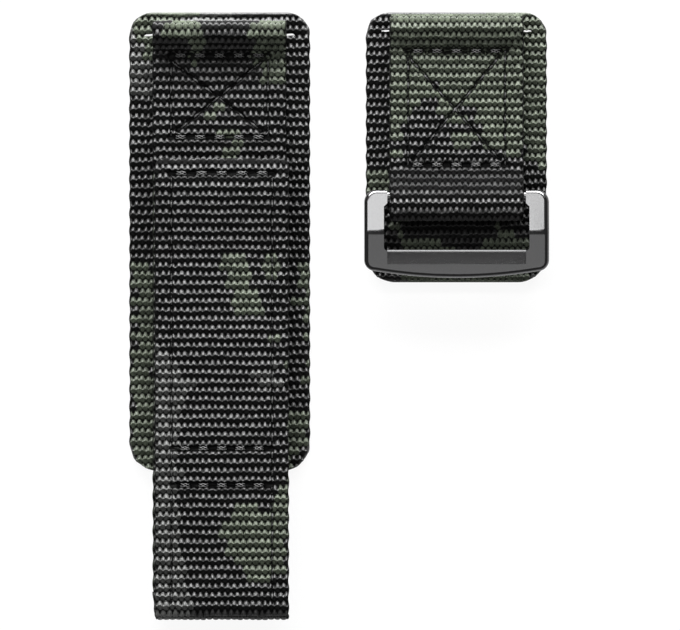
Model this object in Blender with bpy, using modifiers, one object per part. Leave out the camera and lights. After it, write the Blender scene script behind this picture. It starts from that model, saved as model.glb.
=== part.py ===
# Two-piece hook and loop watch strap: woven pads, folded webbings, tapes, seams and a cranked buckle.
# Metres, +Z up, +Y towards the watch head. The strap lies on its back on the plane z = 0.
import math

import bmesh
import bpy
from mathutils import Vector

for old in list(bpy.data.objects):
    bpy.data.objects.remove(old, do_unlink=True)

# Overall size, and the woven stock that both halves are cut from
STRAP_LENGTH = 0.0984
HALVES_APART = 0.0087
WEB_WIDTH = 0.0218
WEB_THICK = 0.0012
WEB_EDGE = 0.0003
PAD_THICK = 0.0015
PAD_EDGE = 0.00025
SEW_GAP = 0.00015
SIDE_GAP = 0.00025
CUT_OVERRUN = 0.002

# Pads: wide pieces behind each half, cut with a hot knife
PAD_SHY = 0.00025
PAD_TOP_CORNER = 0.0038
PAD_FOOT_CORNER = 0.0047
LONG_PAD_LENGTH = 0.0743
SHORT_PAD_LENGTH = 0.0437
SLIT_NICK = 0.00125
SLIT_HEIGHT = 0.0005
LONG_SLIT_DROP = 0.0036
SHORT_SLIT_DROP = 0.0030
LONG_PAD_RAMP = 0.0180
SHORT_PAD_RAMP = 0.0160

# Lug loops: the bore takes a spring bar, and the front of the loop runs down to the box seam
LOOP_BORE = 0.0016
LONG_LOOP_DROP = 0.0013
SHORT_LOOP_DROP = 0.0002
LOOP_RAMP = 0.0037

# Box seams, measured from the pads' top edge
BOX_MARGIN = 0.00305
LONG_BOX_DROP = 0.0070
LONG_BOX_LENGTH = 0.0132
SHORT_BOX_DROP = 0.0063
SHORT_BOX_LENGTH = 0.0184
BOX_INSET = 0.0009
TAIL_PAST_BOX = 0.0009

# Hook and loop closure on the long half
LOOP_TAPE_THICK = 0.0009
HOOK_TAPE_THICK = 0.0008
TAPE_MARGIN = 0.0010
TAPE_EDGE = 0.0002
TAPE_GAP = 0.00025
FOLD_SPLIT = 0.0002
TONGUE_TIP_DROP = 0.0231
TONGUE_CORNER = 0.0014
HEM_LENGTH = 0.0035
HEM_SEAM_DROP = 0.0030
HEM_SETTLE = 0.0030
HOOK_TAPE_LENGTH = 0.0442
LOOP_TAPE_START = 0.0529
TAPE_LAP = 0.0020

# Sewing thread
THREAD_RADIUS = 0.00021
THREAD_GAP = 0.0001
STITCH_PITCH = 0.0031
STITCH_RISE = 0.00016
EDGE_SEAM_MARGIN = 0.00175
CROSS_SEAM_MARGIN = 0.0005
BOBBIN_RADIUS = 0.00016
BOBBIN_DEPTH = 0.00005
GROOVE_PLAY = 0.00008

# Buckle: one cast frame with a round upper bar and a wide, bowed lower bar
WINDOW_PLAY = 0.0003
BUCKLE_THICK = 0.0019
BUCKLE_TOP_REACH = 0.00115
BUCKLE_CREASE_REACH = 0.0059
BUCKLE_LOWER_REACH = 0.0074
BUCKLE_TOP_CORNER = 0.0021
BUCKLE_LOW_CORNER = 0.0018
BUCKLE_BOW = 0.0011
BUCKLE_ARM = 0.0032
BAR_RADIUS = 0.0009
BAR_BOSS = 0.00055
BAR_BOSS_REACH = 0.0013
BAR_ROOT = 0.0004
BAR_PLAY = 0.0002
LOWER_BAR = 0.0045
WINDOW_CORNER = 0.0006
RECESS_REACH = 0.0022
RECESS_DEPTH = 0.0012
CRANK_RADIUS = 0.0024
BUCKLE_ROUND = 0.0004
BAR_ABOVE_FOOT = 0.01385
ROLL_SLACK = 0.0018
ROLL_RAMP = 0.0059
FRAME_TILT = math.radians(12)
FRAME_CRANK = math.radians(18)

# How finely curves are cut
ARC_STEPS = 5
RAMP_STEPS = 8
CORNER_STEPS = 4
EDGE_SHARE = 0.9
BOW_STEPS = 6
BAR_SIDES = 16
EDGE_STEPS = 2
SHARP_ANGLE = math.radians(50)
LEVEL_ANGLE = math.radians(1)
STITCH_SHARES = ((0.0, 0.0), (0.3, 1.0), (0.7, 1.0))

# Widths that follow the webbing: the buckle passes it, and the pads are as wide as the buckle
BUCKLE_WIDTH = WEB_WIDTH + 2 * (WINDOW_PLAY + BAR_BOSS + BUCKLE_ARM)
PAD_WIDTH = BUCKLE_WIDTH - 2 * PAD_SHY
SLIT_WIDTH = WEB_WIDTH + 2 * SLIT_NICK
BOX_WIDTH = WEB_WIDTH - 2 * BOX_MARGIN
TAPE_WIDTH = WEB_WIDTH - 2 * TAPE_MARGIN
TONGUE_SEAM_WIDTH = TAPE_WIDTH - 2 * EDGE_SEAM_MARGIN
STRAP_SPREAD = PAD_WIDTH + HALVES_APART + BUCKLE_WIDTH

# Places that several pieces share
TOP_EDGE = STRAP_LENGTH / 2
FOLD_EDGE = -STRAP_LENGTH / 2
LONG_X = PAD_WIDTH / 2 - STRAP_SPREAD / 2
SHORT_X = STRAP_SPREAD / 2 - BUCKLE_WIDTH / 2
HALF_WEB = WEB_THICK / 2
TAIL_Z = HALF_WEB
PAD_HIGH_Z = WEB_THICK + SEW_GAP + PAD_THICK / 2
PAD_LOW_Z = PAD_THICK / 2
ON_PAD = PAD_THICK / 2 + SEW_GAP + HALF_WEB
FRONT_Z = PAD_HIGH_Z + ON_PAD
TURN_RADIUS = HALF_WEB + SEW_GAP

parts = bpy.data.collections.new("hook_and_loop_watch_strap")
cutters = bpy.data.collections.new("cutters")
bpy.context.scene.collection.children.link(parts)
bpy.context.scene.collection.children.link(cutters)


def finish(obj, colour, roughness, metallic=0.0):
    """Give a finished piece its own plain material and smooth rounded faces."""
    material = bpy.data.materials.new(obj.name + "_finish")
    material.use_nodes = True
    shader = material.node_tree.nodes["Principled BSDF"]
    shader.inputs["Base Color"].default_value = (*colour, 1.0)
    shader.inputs["Roughness"].default_value = roughness
    shader.inputs["Metallic"].default_value = metallic
    obj.data.materials.append(material)
    if obj.type == "MESH":
        obj.data.shade_smooth()
        obj.data.set_sharp_from_angle(angle=SHARP_ANGLE)
    return obj


def as_cutter(obj):
    """Move an object to the cutters, where it is a guide and not a piece."""
    for holder in list(obj.users_collection):
        holder.objects.unlink(obj)
    cutters.objects.link(obj)
    obj.hide_render = True
    obj.display_type = "WIRE"
    return obj


def boolean(obj, other, operation="DIFFERENCE"):
    """Cut or join one solid with another."""
    step = obj.modifiers.new(operation.lower(), "BOOLEAN")
    step.operation = operation
    step.solver = "EXACT"
    step.object = other


def solid_from(obj, name):
    """The evaluated shape of an object as a new mesh object, with its loose caps welded."""
    bpy.context.view_layer.update()
    graph = bpy.context.evaluated_depsgraph_get()
    mesh = bpy.data.meshes.new_from_object(obj.evaluated_get(graph))
    shape = bmesh.new()
    shape.from_mesh(mesh)
    bmesh.ops.remove_doubles(shape, verts=shape.verts, dist=SEW_GAP / BAR_SIDES)
    bmesh.ops.recalc_face_normals(shape, faces=shape.faces)
    shape.to_mesh(mesh)
    shape.free()
    made = bpy.data.objects.new(name, mesh)
    made.matrix_world = obj.matrix_world.copy()
    parts.objects.link(made)
    bpy.data.objects.remove(obj, do_unlink=True)
    return made


def flat_solid(name, outline, thickness):
    """A flat outline in x and y, filled and extruded evenly about z = 0."""
    curve = bpy.data.curves.new(name + "_outline", "CURVE")
    curve.dimensions = "2D"
    curve.fill_mode = "BOTH"
    curve.extrude = thickness / 2
    spline = curve.splines.new("POLY")
    spline.points.add(len(outline) - 1)
    for point, (x, y) in zip(spline.points, outline):
        point.co = (x, y, 0.0, 1.0)
    spline.use_cyclic_u = True
    holder = bpy.data.objects.new(name + "_outline", curve)
    parts.objects.link(holder)
    return solid_from(holder, name)


def arc(centre, radius, start, end, steps=ARC_STEPS):
    """Points of an arc about a centre, angles in degrees."""
    points = []
    for step in range(steps + 1):
        angle = math.radians(start + (end - start) * step / steps)
        points.append((centre[0] + radius * math.cos(angle), centre[1] + radius * math.sin(angle)))
    return points


def ease(start, end, steps=RAMP_STEPS):
    """An S-shaped run between two points, level at both ends."""
    points = []
    for step in range(steps + 1):
        share = step / steps
        blend = (1 - math.cos(math.pi * share)) / 2
        points.append((start[0] + (end[0] - start[0]) * share, start[1] + (end[1] - start[1]) * blend))
    return points


def tidy_path(points):
    """Drop points that repeat the one before them."""
    kept = [points[0]]
    for point in points[1:]:
        if math.dist(point, kept[-1]) > SEW_GAP / BAR_SIDES:
            kept.append(point)
    return kept


def distances(path):
    """Distance along a path of each of its points."""
    total = [0.0]
    for before, after in zip(path, path[1:]):
        total.append(total[-1] + math.dist(before, after))
    return total


def point_at(path, marks, distance):
    """The point that lies a distance along a path."""
    for (before, after), (near, far) in zip(zip(path, path[1:]), zip(marks, marks[1:])):
        if distance <= far or after is path[-1]:
            share = (distance - near) / (far - near)
            return (before[0] + (after[0] - before[0]) * share, before[1] + (after[1] - before[1]) * share)
    return path[-1]


def height_at(path, y):
    """Height of a path's highest crossing of a given y."""
    best = None
    for before, after in zip(path, path[1:]):
        low, high = sorted((before[0], after[0]))
        if low <= y <= high and high > low:
            share = (y - before[0]) / (after[0] - before[0])
            height = before[1] + (after[1] - before[1]) * share
            best = height if best is None else max(best, height)
    return best


def steepness(path, y):
    """How much thicker a level cut through a band is where its path slopes."""
    before = height_at(path, y - HALF_WEB)
    after = height_at(path, y + HALF_WEB)
    if before is None or after is None:
        return 1.0
    return math.hypot(1.0, (after - before) / WEB_THICK)


def corner_inset(distance, radius):
    """How far a rounded corner draws the edge in, a distance from the end."""
    if distance >= radius:
        return 0.0
    return radius - math.sqrt(max(radius ** 2 - (radius - distance) ** 2, 0.0))


def ribbon(name, path, width, thickness, centre_x, edge, corners=(0.0, 0.0)):
    """A woven band: a sheet swept along a path in y and z, thickened, with rounded selvedges."""
    path = tidy_path(path)
    marks = distances(path)
    length = marks[-1]
    stations = set(marks)
    for end, radius in enumerate(corners):
        for step in range(CORNER_STEPS if radius else 0):
            reach = radius * (1 - math.cos(math.pi / 2 * (step + 1) / CORNER_STEPS))
            stations.add(reach if end == 0 else length - reach)
            edge = min(edge, EDGE_SHARE * reach)
    stations = sorted(stations)
    kept = [stations[0]]
    for mark in stations[1:]:
        if mark - kept[-1] > SEW_GAP / BAR_SIDES:
            kept.append(mark)
    mesh = bpy.data.meshes.new(name)
    sheet = bmesh.new()
    rows = []
    for mark in kept:
        y, z = point_at(path, marks, mark)
        half = width / 2
        half -= corner_inset(mark, corners[0]) + corner_inset(length - mark, corners[1])
        rows.append((sheet.verts.new((-half, y, z)), sheet.verts.new((half, y, z))))
    for before, after in zip(rows, rows[1:]):
        sheet.faces.new((before[0], before[1], after[1], after[0]))
    sheet.to_mesh(mesh)
    sheet.free()
    obj = bpy.data.objects.new(name, mesh)
    obj.location.x = centre_x
    parts.objects.link(obj)
    shell = obj.modifiers.new("thickness", "SOLIDIFY")
    shell.thickness = thickness
    shell.offset = 0.0
    shell.use_even_offset = True
    rounding = obj.modifiers.new("selvedge", "BEVEL")
    rounding.width = edge
    rounding.segments = EDGE_STEPS
    rounding.limit_method = "ANGLE"
    rounding.angle_limit = SHARP_ANGLE
    return obj


def pad_path(length, box_end, ramp):
    """Side view of a pad: raised over the tail of the webbing, then down to the floor."""
    raised_end = TOP_EDGE - box_end - TAIL_PAST_BOX - SIDE_GAP
    low_start = raised_end - ramp
    foot = TOP_EDGE - length
    return [(TOP_EDGE, PAD_HIGH_Z), (raised_end, PAD_HIGH_Z), (low_start, PAD_LOW_Z), (foot, PAD_LOW_Z)]


def slit_cutter(name, centre_x, drop):
    """The slit in a pad: a straight cut whose middle the webbing holds open."""
    end = SLIT_WIDTH / 2
    lip = WEB_WIDTH / 2 + SIDE_GAP
    gape = HALF_WEB + SEW_GAP
    nick = SLIT_HEIGHT / 2
    outline = [(-end, nick), (-end, -nick), (-lip, -nick), (-lip, -gape)]
    outline += [(lip, -gape), (lip, -nick), (end, -nick), (end, nick)]
    outline += [(lip, nick), (lip, gape), (-lip, gape), (-lip, nick)]
    cutter = flat_solid(name, outline, PAD_THICK + CUT_OVERRUN)
    cutter.location = (centre_x, TOP_EDGE - drop, PAD_HIGH_Z)
    return as_cutter(cutter)


def pad(name, centre_x, path, slit_drop):
    """A wide woven pad with round corners and a slit near its top edge."""
    corners = (PAD_TOP_CORNER, PAD_FOOT_CORNER)
    obj = ribbon(name, path, PAD_WIDTH, PAD_THICK, centre_x, PAD_EDGE, corners)
    boolean(obj, slit_cutter(name + "_slit", centre_x, slit_drop))
    return obj


def loop_path(tail_end, slit_drop, loop_drop, front_z):
    """Side view of the webbing from its tail, through the slit and round the lug loop."""
    slit_y = TOP_EDGE - slit_drop
    outer_y = TOP_EDGE - loop_drop - HALF_WEB
    back_y = slit_y + TURN_RADIUS
    round_radius = min(outer_y - back_y, HALF_WEB + LOOP_BORE / 2)
    back_z = PAD_HIGH_Z + ON_PAD
    crest_z = back_z + WEB_THICK + LOOP_BORE
    turn_y = outer_y - round_radius
    path = [(tail_end, TAIL_Z)]
    path += arc((slit_y - TURN_RADIUS, TAIL_Z + TURN_RADIUS), TURN_RADIUS, -90, 0)
    path += arc((back_y, back_z - TURN_RADIUS), TURN_RADIUS, 180, 90)
    path += arc((turn_y, back_z + round_radius), round_radius, -90, 0)
    path += arc((turn_y, crest_z - round_radius), round_radius, 0, 90)
    path += ease((turn_y, crest_z), (turn_y - LOOP_RAMP, front_z))
    return path


# The long half: pad, one long webbing, and the fold at its lower end
long_box_end = LONG_BOX_DROP + LONG_BOX_LENGTH
long_pad_line = pad_path(LONG_PAD_LENGTH, long_box_end, LONG_PAD_RAMP)
long_pad = pad("long_pad", LONG_X, long_pad_line, LONG_SLIT_DROP)
finish(long_pad, (0.020, 0.024, 0.017), 0.85)

run_z = PAD_LOW_Z + ON_PAD
tape_stack = SEW_GAP + LOOP_TAPE_THICK + TAPE_GAP + HOOK_TAPE_THICK + SEW_GAP
tongue_rise = WEB_THICK + tape_stack
tongue_z = run_z + tongue_rise
fold_radius = tongue_rise / 2
fold_z = run_z + fold_radius
fold_y = FOLD_EDGE + fold_radius + HALF_WEB
run_end = fold_y + FOLD_SPLIT

long_tail_end = TOP_EDGE - long_box_end - TAIL_PAST_BOX
front_line = loop_path(long_tail_end, LONG_SLIT_DROP, LONG_LOOP_DROP, FRONT_Z)
ramp_top_y = long_pad_line[1][0]
ramp_foot_y = long_pad_line[2][0]
run_line = [(ramp_top_y, FRONT_Z), (ramp_foot_y, run_z), (run_end, run_z)]

# The webbing's loop and its run are two nodes that meet under the tongue and the loop tape
tongue_tip_y = TOP_EDGE - TONGUE_TIP_DROP
hem_low_y = tongue_tip_y - HEM_LENGTH
settle_y = hem_low_y - SIDE_GAP
run_start_y = settle_y - TAPE_LAP
run_start = (run_start_y, height_at(run_line, run_start_y))
loop_end = (run_start_y + FOLD_SPLIT, height_at(run_line, run_start_y + FOLD_SPLIT))
loop_line = front_line + [run_line[0], loop_end]
long_webbing = ribbon("long_webbing", loop_line, WEB_WIDTH, WEB_THICK, LONG_X, WEB_EDGE)
finish(long_webbing, (0.022, 0.026, 0.018), 0.85)
run_webbing = ribbon("run_webbing", [run_start] + run_line[1:], WEB_WIDTH, WEB_THICK, LONG_X, WEB_EDGE)
finish(run_webbing, (0.022, 0.026, 0.018), 0.85)

fold_line = arc((fold_y, fold_z), fold_radius, -90, -270, 2 * ARC_STEPS)
strap_fold = ribbon("strap_fold", fold_line, WEB_WIDTH, WEB_THICK, LONG_X, WEB_EDGE)
finish(strap_fold, (0.022, 0.026, 0.018), 0.85)

# The tongue: the webbing comes back over the run and ends in a turned hem
hem_radius = HALF_WEB + SEW_GAP / 2
hem_turn_y = tongue_tip_y - hem_radius - HALF_WEB


def above_run(y, rise):
    """A point that lies a rise above the run's middle plane."""
    return (y, height_at(run_line, y) + rise)


hem_rise = WEB_THICK + TAPE_GAP
hem_low_z = above_run(hem_low_y, hem_rise)[1]
hem_turn_z = above_run(hem_turn_y, hem_rise)[1]
tongue_line = [(hem_low_y, hem_low_z)]
tongue_line += arc((hem_turn_y, hem_turn_z + hem_radius), hem_radius, -90, 90, 2 * ARC_STEPS)
tongue_line += ease(tongue_line[-1], above_run(settle_y - HEM_SETTLE / 2, tongue_rise))
tongue_line += [above_run(ramp_foot_y, tongue_rise), (run_end, tongue_z)]
tongue_webbing = ribbon("tongue_webbing", tongue_line, WEB_WIDTH, WEB_THICK, LONG_X, WEB_EDGE)
for side in (-1, 1):
    edge_x = WEB_WIDTH / 2
    corner = [(edge_x - TONGUE_CORNER, CUT_OVERRUN), (edge_x + CUT_OVERRUN, CUT_OVERRUN)]
    corner += [(edge_x + CUT_OVERRUN, -TONGUE_CORNER)]
    corner += arc((edge_x - TONGUE_CORNER, -TONGUE_CORNER), TONGUE_CORNER, 0, 90)
    cutter = flat_solid("tip_corner", [(side * x, y) for x, y in corner], tongue_rise + CUT_OVERRUN)
    cutter.location = (LONG_X, tongue_tip_y, hem_turn_z)
    boolean(tongue_webbing, as_cutter(cutter))
finish(tongue_webbing, (0.024, 0.026, 0.022), 0.85)


def tape(name, start_y, end_y, rise, thickness):
    """A strip of tape sewn flat along the run or the tongue."""
    line = [above_run(start_y, rise)]
    if start_y > ramp_foot_y > end_y:
        line.append(above_run(ramp_foot_y, rise))
    line.append(above_run(end_y, rise))
    return ribbon(name, line, TAPE_WIDTH, thickness, LONG_X, TAPE_EDGE)


loop_rise = HALF_WEB + SEW_GAP + LOOP_TAPE_THICK / 2
hook_rise = loop_rise + LOOP_TAPE_THICK / 2 + TAPE_GAP + HOOK_TAPE_THICK / 2
hook_end_y = settle_y - HOOK_TAPE_LENGTH
tongue_loop_y = tongue_tip_y - LOOP_TAPE_START
tongue_loop_rise = tongue_rise - loop_rise
run_loop_tape = tape("run_loop_tape", settle_y, run_end, loop_rise, LOOP_TAPE_THICK)
finish(run_loop_tape, (0.012, 0.012, 0.013), 0.95)
tongue_hook_tape = tape("tongue_hook_tape", settle_y - HEM_SETTLE / 2, hook_end_y, hook_rise, HOOK_TAPE_THICK)
finish(tongue_hook_tape, (0.015, 0.015, 0.016), 0.6)
tongue_loop_tape = tape("tongue_loop_tape", tongue_loop_y, run_end, tongue_loop_rise, LOOP_TAPE_THICK)
finish(tongue_loop_tape, (0.012, 0.012, 0.013), 0.95)
inner_line = arc((fold_y, fold_z), fold_radius - loop_rise, -90, -270, 2 * ARC_STEPS)
fold_loop_tape = ribbon("fold_loop_tape", inner_line, TAPE_WIDTH, LOOP_TAPE_THICK, LONG_X, TAPE_EDGE)
finish(fold_loop_tape, (0.012, 0.012, 0.013), 0.95)


# Sewing threads: each seam's needle thread lies up between its holes and dips at each hole
def seam(name, corners, line, centre_x, cross=None, side=1.0):
    """One needle thread along straight runs over a webbing whose middle plane is a line."""
    spots = []
    for (x0, y0), (x1, y1) in zip(corners, corners[1:]):
        stitches = max(1, round(math.dist((x0, y0), (x1, y1)) / STITCH_PITCH))
        for stitch in range(stitches):
            for share, lift in STITCH_SHARES:
                reach = (stitch + share) / stitches
                spots.append((x0 + (x1 - x0) * reach, y0 + (y1 - y0) * reach, lift))
    spots.append((*corners[-1], 0.0))
    curve = bpy.data.curves.new(name, "CURVE")
    curve.dimensions = "3D"
    curve.bevel_depth = THREAD_RADIUS
    curve.bevel_resolution = 0
    curve.use_fill_caps = True
    spline = curve.splines.new("POLY")
    spline.points.add(len(spots) - 1)
    for number, (point, (x, y, lift)) in enumerate(zip(spline.points, spots)):
        base = HALF_WEB * steepness(line, y) + THREAD_GAP + THREAD_RADIUS + STITCH_RISE * lift
        if cross and number > cross[2] and math.dist((x, y), cross[:2]) < STITCH_PITCH:
            base += 2 * THREAD_RADIUS + THREAD_GAP + STITCH_RISE
        point.co = (x, y, height_at(line, y) + side * base, 1.0)
    obj = bpy.data.objects.new(name, curve)
    obj.location.x = centre_x
    parts.objects.link(obj)
    return finish(obj, (0.06, 0.06, 0.06), 0.5)


def box_route(drop, length):
    """Corners of a box seam, sewn in one go: round the box, one diagonal, up a side, the other."""
    left = -BOX_WIDTH / 2
    right = BOX_WIDTH / 2
    top = TOP_EDGE - drop
    foot = top - length
    near = BOX_INSET
    route = [(left, top), (right, top), (right, foot), (left, foot), (left, top - near)]
    route += [(right - near, foot + near), (right - near, top - near), (left + near, foot + near)]
    return route, (0.0, (top + foot) / 2)


def box_seam(name, drop, length, line, centre_x):
    """The needle thread of a box seam, which crosses itself in the middle."""
    route, middle = box_route(drop, length)
    before = 0
    for start, end in zip(route[:6], route[1:7]):
        before += len(STITCH_SHARES) * max(1, round(math.dist(start, end) / STITCH_PITCH))
    return seam(name, route, line, centre_x, (*middle, before))


def cord_along(name, points, radius, centre_x):
    """A straight-sided thread or groove through a list of points."""
    curve = bpy.data.curves.new(name, "CURVE")
    curve.dimensions = "3D"
    curve.bevel_depth = radius
    curve.bevel_resolution = 1
    curve.use_fill_caps = True
    spline = curve.splines.new("POLY")
    spline.points.add(len(points) - 1)
    for point, place in zip(spline.points, points):
        point.co = (*place, 1.0)
    obj = bpy.data.objects.new(name, curve)
    obj.location.x = centre_x
    parts.objects.link(obj)
    return obj


def bobbin_seam(name, drop, length, webbing, centre_x):
    """The bobbin thread of a box seam, sunk in a groove that it presses into the tail's back."""
    route, middle = box_route(drop, length)
    low = BOBBIN_DEPTH + BOBBIN_RADIUS
    over = low + 2 * BOBBIN_RADIUS + GROOVE_PLAY
    first = [(x, y, low) for x, y in route[:6]]
    second = [(x, y, low) for x, y in route[5:7]]
    run = (route[7][0] - route[6][0], route[7][1] - route[6][1])
    share = (middle[1] - route[6][1]) / run[1]
    reach = BOX_INSET / math.hypot(*run)
    for offset, height in ((-2 * reach, low), (-reach, over), (reach, over), (2 * reach, low)):
        place = share + offset
        second.append((route[6][0] + run[0] * place, route[6][1] + run[1] * place, height))
    second.append((*route[7], low))
    for number, points in enumerate((first, second)):
        groove = cord_along(f"{name}_groove_{number}", points, BOBBIN_RADIUS + GROOVE_PLAY, centre_x)
        boolean(webbing, as_cutter(solid_from(groove, f"{name}_groove_{number}")))
    thread = cord_along(name, first + second[1:], BOBBIN_RADIUS, centre_x)
    return finish(thread, (0.06, 0.06, 0.06), 0.5)


box_line = [(front_line[-1][0] + LOOP_RAMP, FRONT_Z)] + run_line
box_seam("long_box_thread", LONG_BOX_DROP, LONG_BOX_LENGTH, box_line, LONG_X)
bobbin_seam("long_box_bobbin", LONG_BOX_DROP, LONG_BOX_LENGTH, long_webbing, LONG_X)

seam_half = TONGUE_SEAM_WIDTH / 2
hem_seam_y = tongue_tip_y - HEM_SEAM_DROP
seam_foot_y = run_end + SIDE_GAP
tongue_top_line = tongue_line[len(arc((0.0, 0.0), hem_radius, -90, 90, 2 * ARC_STEPS)):]
outline = [(-seam_half, seam_foot_y), (-seam_half, hem_seam_y)]
outline += [(seam_half, hem_seam_y), (seam_half, seam_foot_y)]
seam("tongue_edge_thread", outline, tongue_top_line, LONG_X)

cross_half = seam_half - CROSS_SEAM_MARGIN - THREAD_RADIUS
hook_seam_y = hook_end_y + CROSS_SEAM_MARGIN
loop_seam_y = tongue_loop_y - CROSS_SEAM_MARGIN
seam("hook_end_thread", [(-cross_half, hook_seam_y), (cross_half, hook_seam_y)], tongue_top_line, LONG_X)
seam("loop_end_thread", [(-cross_half, loop_seam_y), (cross_half, loop_seam_y)], tongue_top_line, LONG_X)

under_top_y = TOP_EDGE - LONG_PAD_LENGTH - SIDE_GAP
for number, side_x in enumerate((-seam_half, seam_half)):
    name = ("run_thread_left", "run_thread_right")[number]
    seam(name, [(side_x, under_top_y), (side_x, seam_foot_y)], run_line, LONG_X, side=-1.0)

# The short half: pad, and one webbing that makes the lug loop and holds the buckle
short_box_end = SHORT_BOX_DROP + SHORT_BOX_LENGTH
short_pad_line = pad_path(SHORT_PAD_LENGTH, short_box_end, SHORT_PAD_RAMP)
short_pad = pad("short_pad", SHORT_X, short_pad_line, SHORT_SLIT_DROP)
finish(short_pad, (0.028, 0.036, 0.020), 0.85)

pad_foot_y = TOP_EDGE - SHORT_PAD_LENGTH
bar_y = pad_foot_y + BAR_ABOVE_FOOT
roll_y = bar_y - ROLL_SLACK
return_z = height_at(short_pad_line, roll_y) + ON_PAD
bar_floor = height_at(short_pad_line, bar_y) + ON_PAD + HALF_WEB
bar_z = bar_floor + BAR_PLAY + BAR_RADIUS
roll_top_z = bar_z + BAR_RADIUS + BAR_PLAY + HALF_WEB
roll_radius = (roll_top_z - return_z) / 2
stack_z = FRONT_Z + WEB_THICK + SEW_GAP

short_tail_end = TOP_EDGE - short_box_end - TAIL_PAST_BOX
short_line = loop_path(short_tail_end, SHORT_SLIT_DROP, SHORT_LOOP_DROP, stack_z)
short_ramp_top = bar_y + ROLL_RAMP - ROLL_SLACK / 2
short_line += ease((short_ramp_top, stack_z), (bar_y - ROLL_SLACK / 2, roll_top_z))
short_line += arc((roll_y, roll_top_z - roll_radius), roll_radius, 90, 270, 2 * ARC_STEPS)
return_ramp_y = short_pad_line[1][0]
return_end_y = TOP_EDGE - SHORT_BOX_DROP + TAIL_PAST_BOX
short_line += [(return_ramp_y, FRONT_Z), (return_end_y, FRONT_Z)]
short_webbing = ribbon("short_webbing", short_line, WEB_WIDTH, WEB_THICK, SHORT_X, WEB_EDGE)
finish(short_webbing, (0.028, 0.036, 0.020), 0.85)

box_top_line = [(TOP_EDGE, stack_z), (short_ramp_top, stack_z)]
box_top_line += ease((short_ramp_top, stack_z), (bar_y - ROLL_SLACK / 2, roll_top_z))
box_seam("short_box_thread", SHORT_BOX_DROP, SHORT_BOX_LENGTH, box_top_line, SHORT_X)
bobbin_seam("short_box_bobbin", SHORT_BOX_DROP, SHORT_BOX_LENGTH, short_webbing, SHORT_X)


# The buckle: a flat frame with its window, round bar and strap recess, then cranked
def mirrored(half):
    """A whole outline from its right half, which runs from the top to the foot."""
    return half + [(-x, y) for x, y in reversed(half) if abs(x) > SEW_GAP / BAR_SIDES]


def frame_outline(top, foot):
    """The frame's outer edge: round corners and a lower edge that bows down."""
    edge = BUCKLE_WIDTH / 2
    low = foot + BUCKLE_BOW
    inner = edge - BUCKLE_LOW_CORNER
    half = [(0.0, top)]
    half += arc((edge - BUCKLE_TOP_CORNER, top - BUCKLE_TOP_CORNER), BUCKLE_TOP_CORNER, 90, 0)
    half += arc((inner, low + BUCKLE_LOW_CORNER), BUCKLE_LOW_CORNER, 0, -90)
    for step in range(1, BOW_STEPS + 1):
        share = 1 - step / BOW_STEPS
        half.append((inner * share, foot + BUCKLE_BOW * share ** 2))
    return mirrored(half)


def window_outline(top, sill):
    """The opening between the arms, open at the top where the round bar goes in."""
    wide = BUCKLE_WIDTH / 2 - BUCKLE_ARM
    narrow = wide - BAR_BOSS
    half = [(0.0, top + CUT_OVERRUN), (narrow, top + CUT_OVERRUN), (narrow, -BAR_BOSS_REACH)]
    half.append((wide, -BAR_BOSS_REACH - BAR_BOSS))
    half += arc((wide - WINDOW_CORNER, sill + WINDOW_CORNER), WINDOW_CORNER, 0, -90)
    half.append((0.0, sill))
    return mirrored(half)


def crank(y, z):
    """Where a point of the flat frame goes when the frame is bent along its crease."""
    start = -BUCKLE_CREASE_REACH + CRANK_RADIUS * FRAME_CRANK / 2
    past = start - y
    if past <= 0:
        return (y, z)
    turn = min(past / CRANK_RADIUS, FRAME_CRANK)
    rest = past - turn * CRANK_RADIUS
    centre_z = -CRANK_RADIUS
    reach = CRANK_RADIUS + z
    bent_y = start - reach * math.sin(turn) - rest * math.cos(turn)
    bent_z = centre_z + reach * math.cos(turn) - rest * math.sin(turn)
    return (bent_y, bent_z)


frame_foot = -BUCKLE_CREASE_REACH - BUCKLE_LOWER_REACH
sill_y = frame_foot + LOWER_BAR
flat_frame = flat_solid("flat_frame", frame_outline(BUCKLE_TOP_REACH, frame_foot), BUCKLE_THICK)
window = flat_solid("window", window_outline(BUCKLE_TOP_REACH, sill_y), BUCKLE_THICK + CUT_OVERRUN)
boolean(flat_frame, as_cutter(window))
flat_frame = solid_from(flat_frame, "rounded_frame")
shape = bmesh.new()
shape.from_mesh(flat_frame.data)
bmesh.ops.dissolve_limit(shape, angle_limit=LEVEL_ANGLE, verts=shape.verts, edges=shape.edges)
rims = [rim for rim in shape.edges if rim.calc_face_angle() > SHARP_ANGLE]
bmesh.ops.bevel(shape, geom=rims, offset=BUCKLE_ROUND, segments=EDGE_STEPS, profile=0.5,
                affect="EDGES", clamp_overlap=True)
shape.to_mesh(flat_frame.data)
shape.free()

bar_half = BUCKLE_WIDTH / 2 - BUCKLE_ARM - BAR_BOSS + BAR_ROOT
bpy.ops.mesh.primitive_cylinder_add(vertices=BAR_SIDES, radius=BAR_RADIUS, depth=2 * bar_half)
bar = as_cutter(bpy.context.object)
bar.name = "bar"
bar.rotation_euler.y = math.pi / 2
boolean(flat_frame, bar, "UNION")

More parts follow.
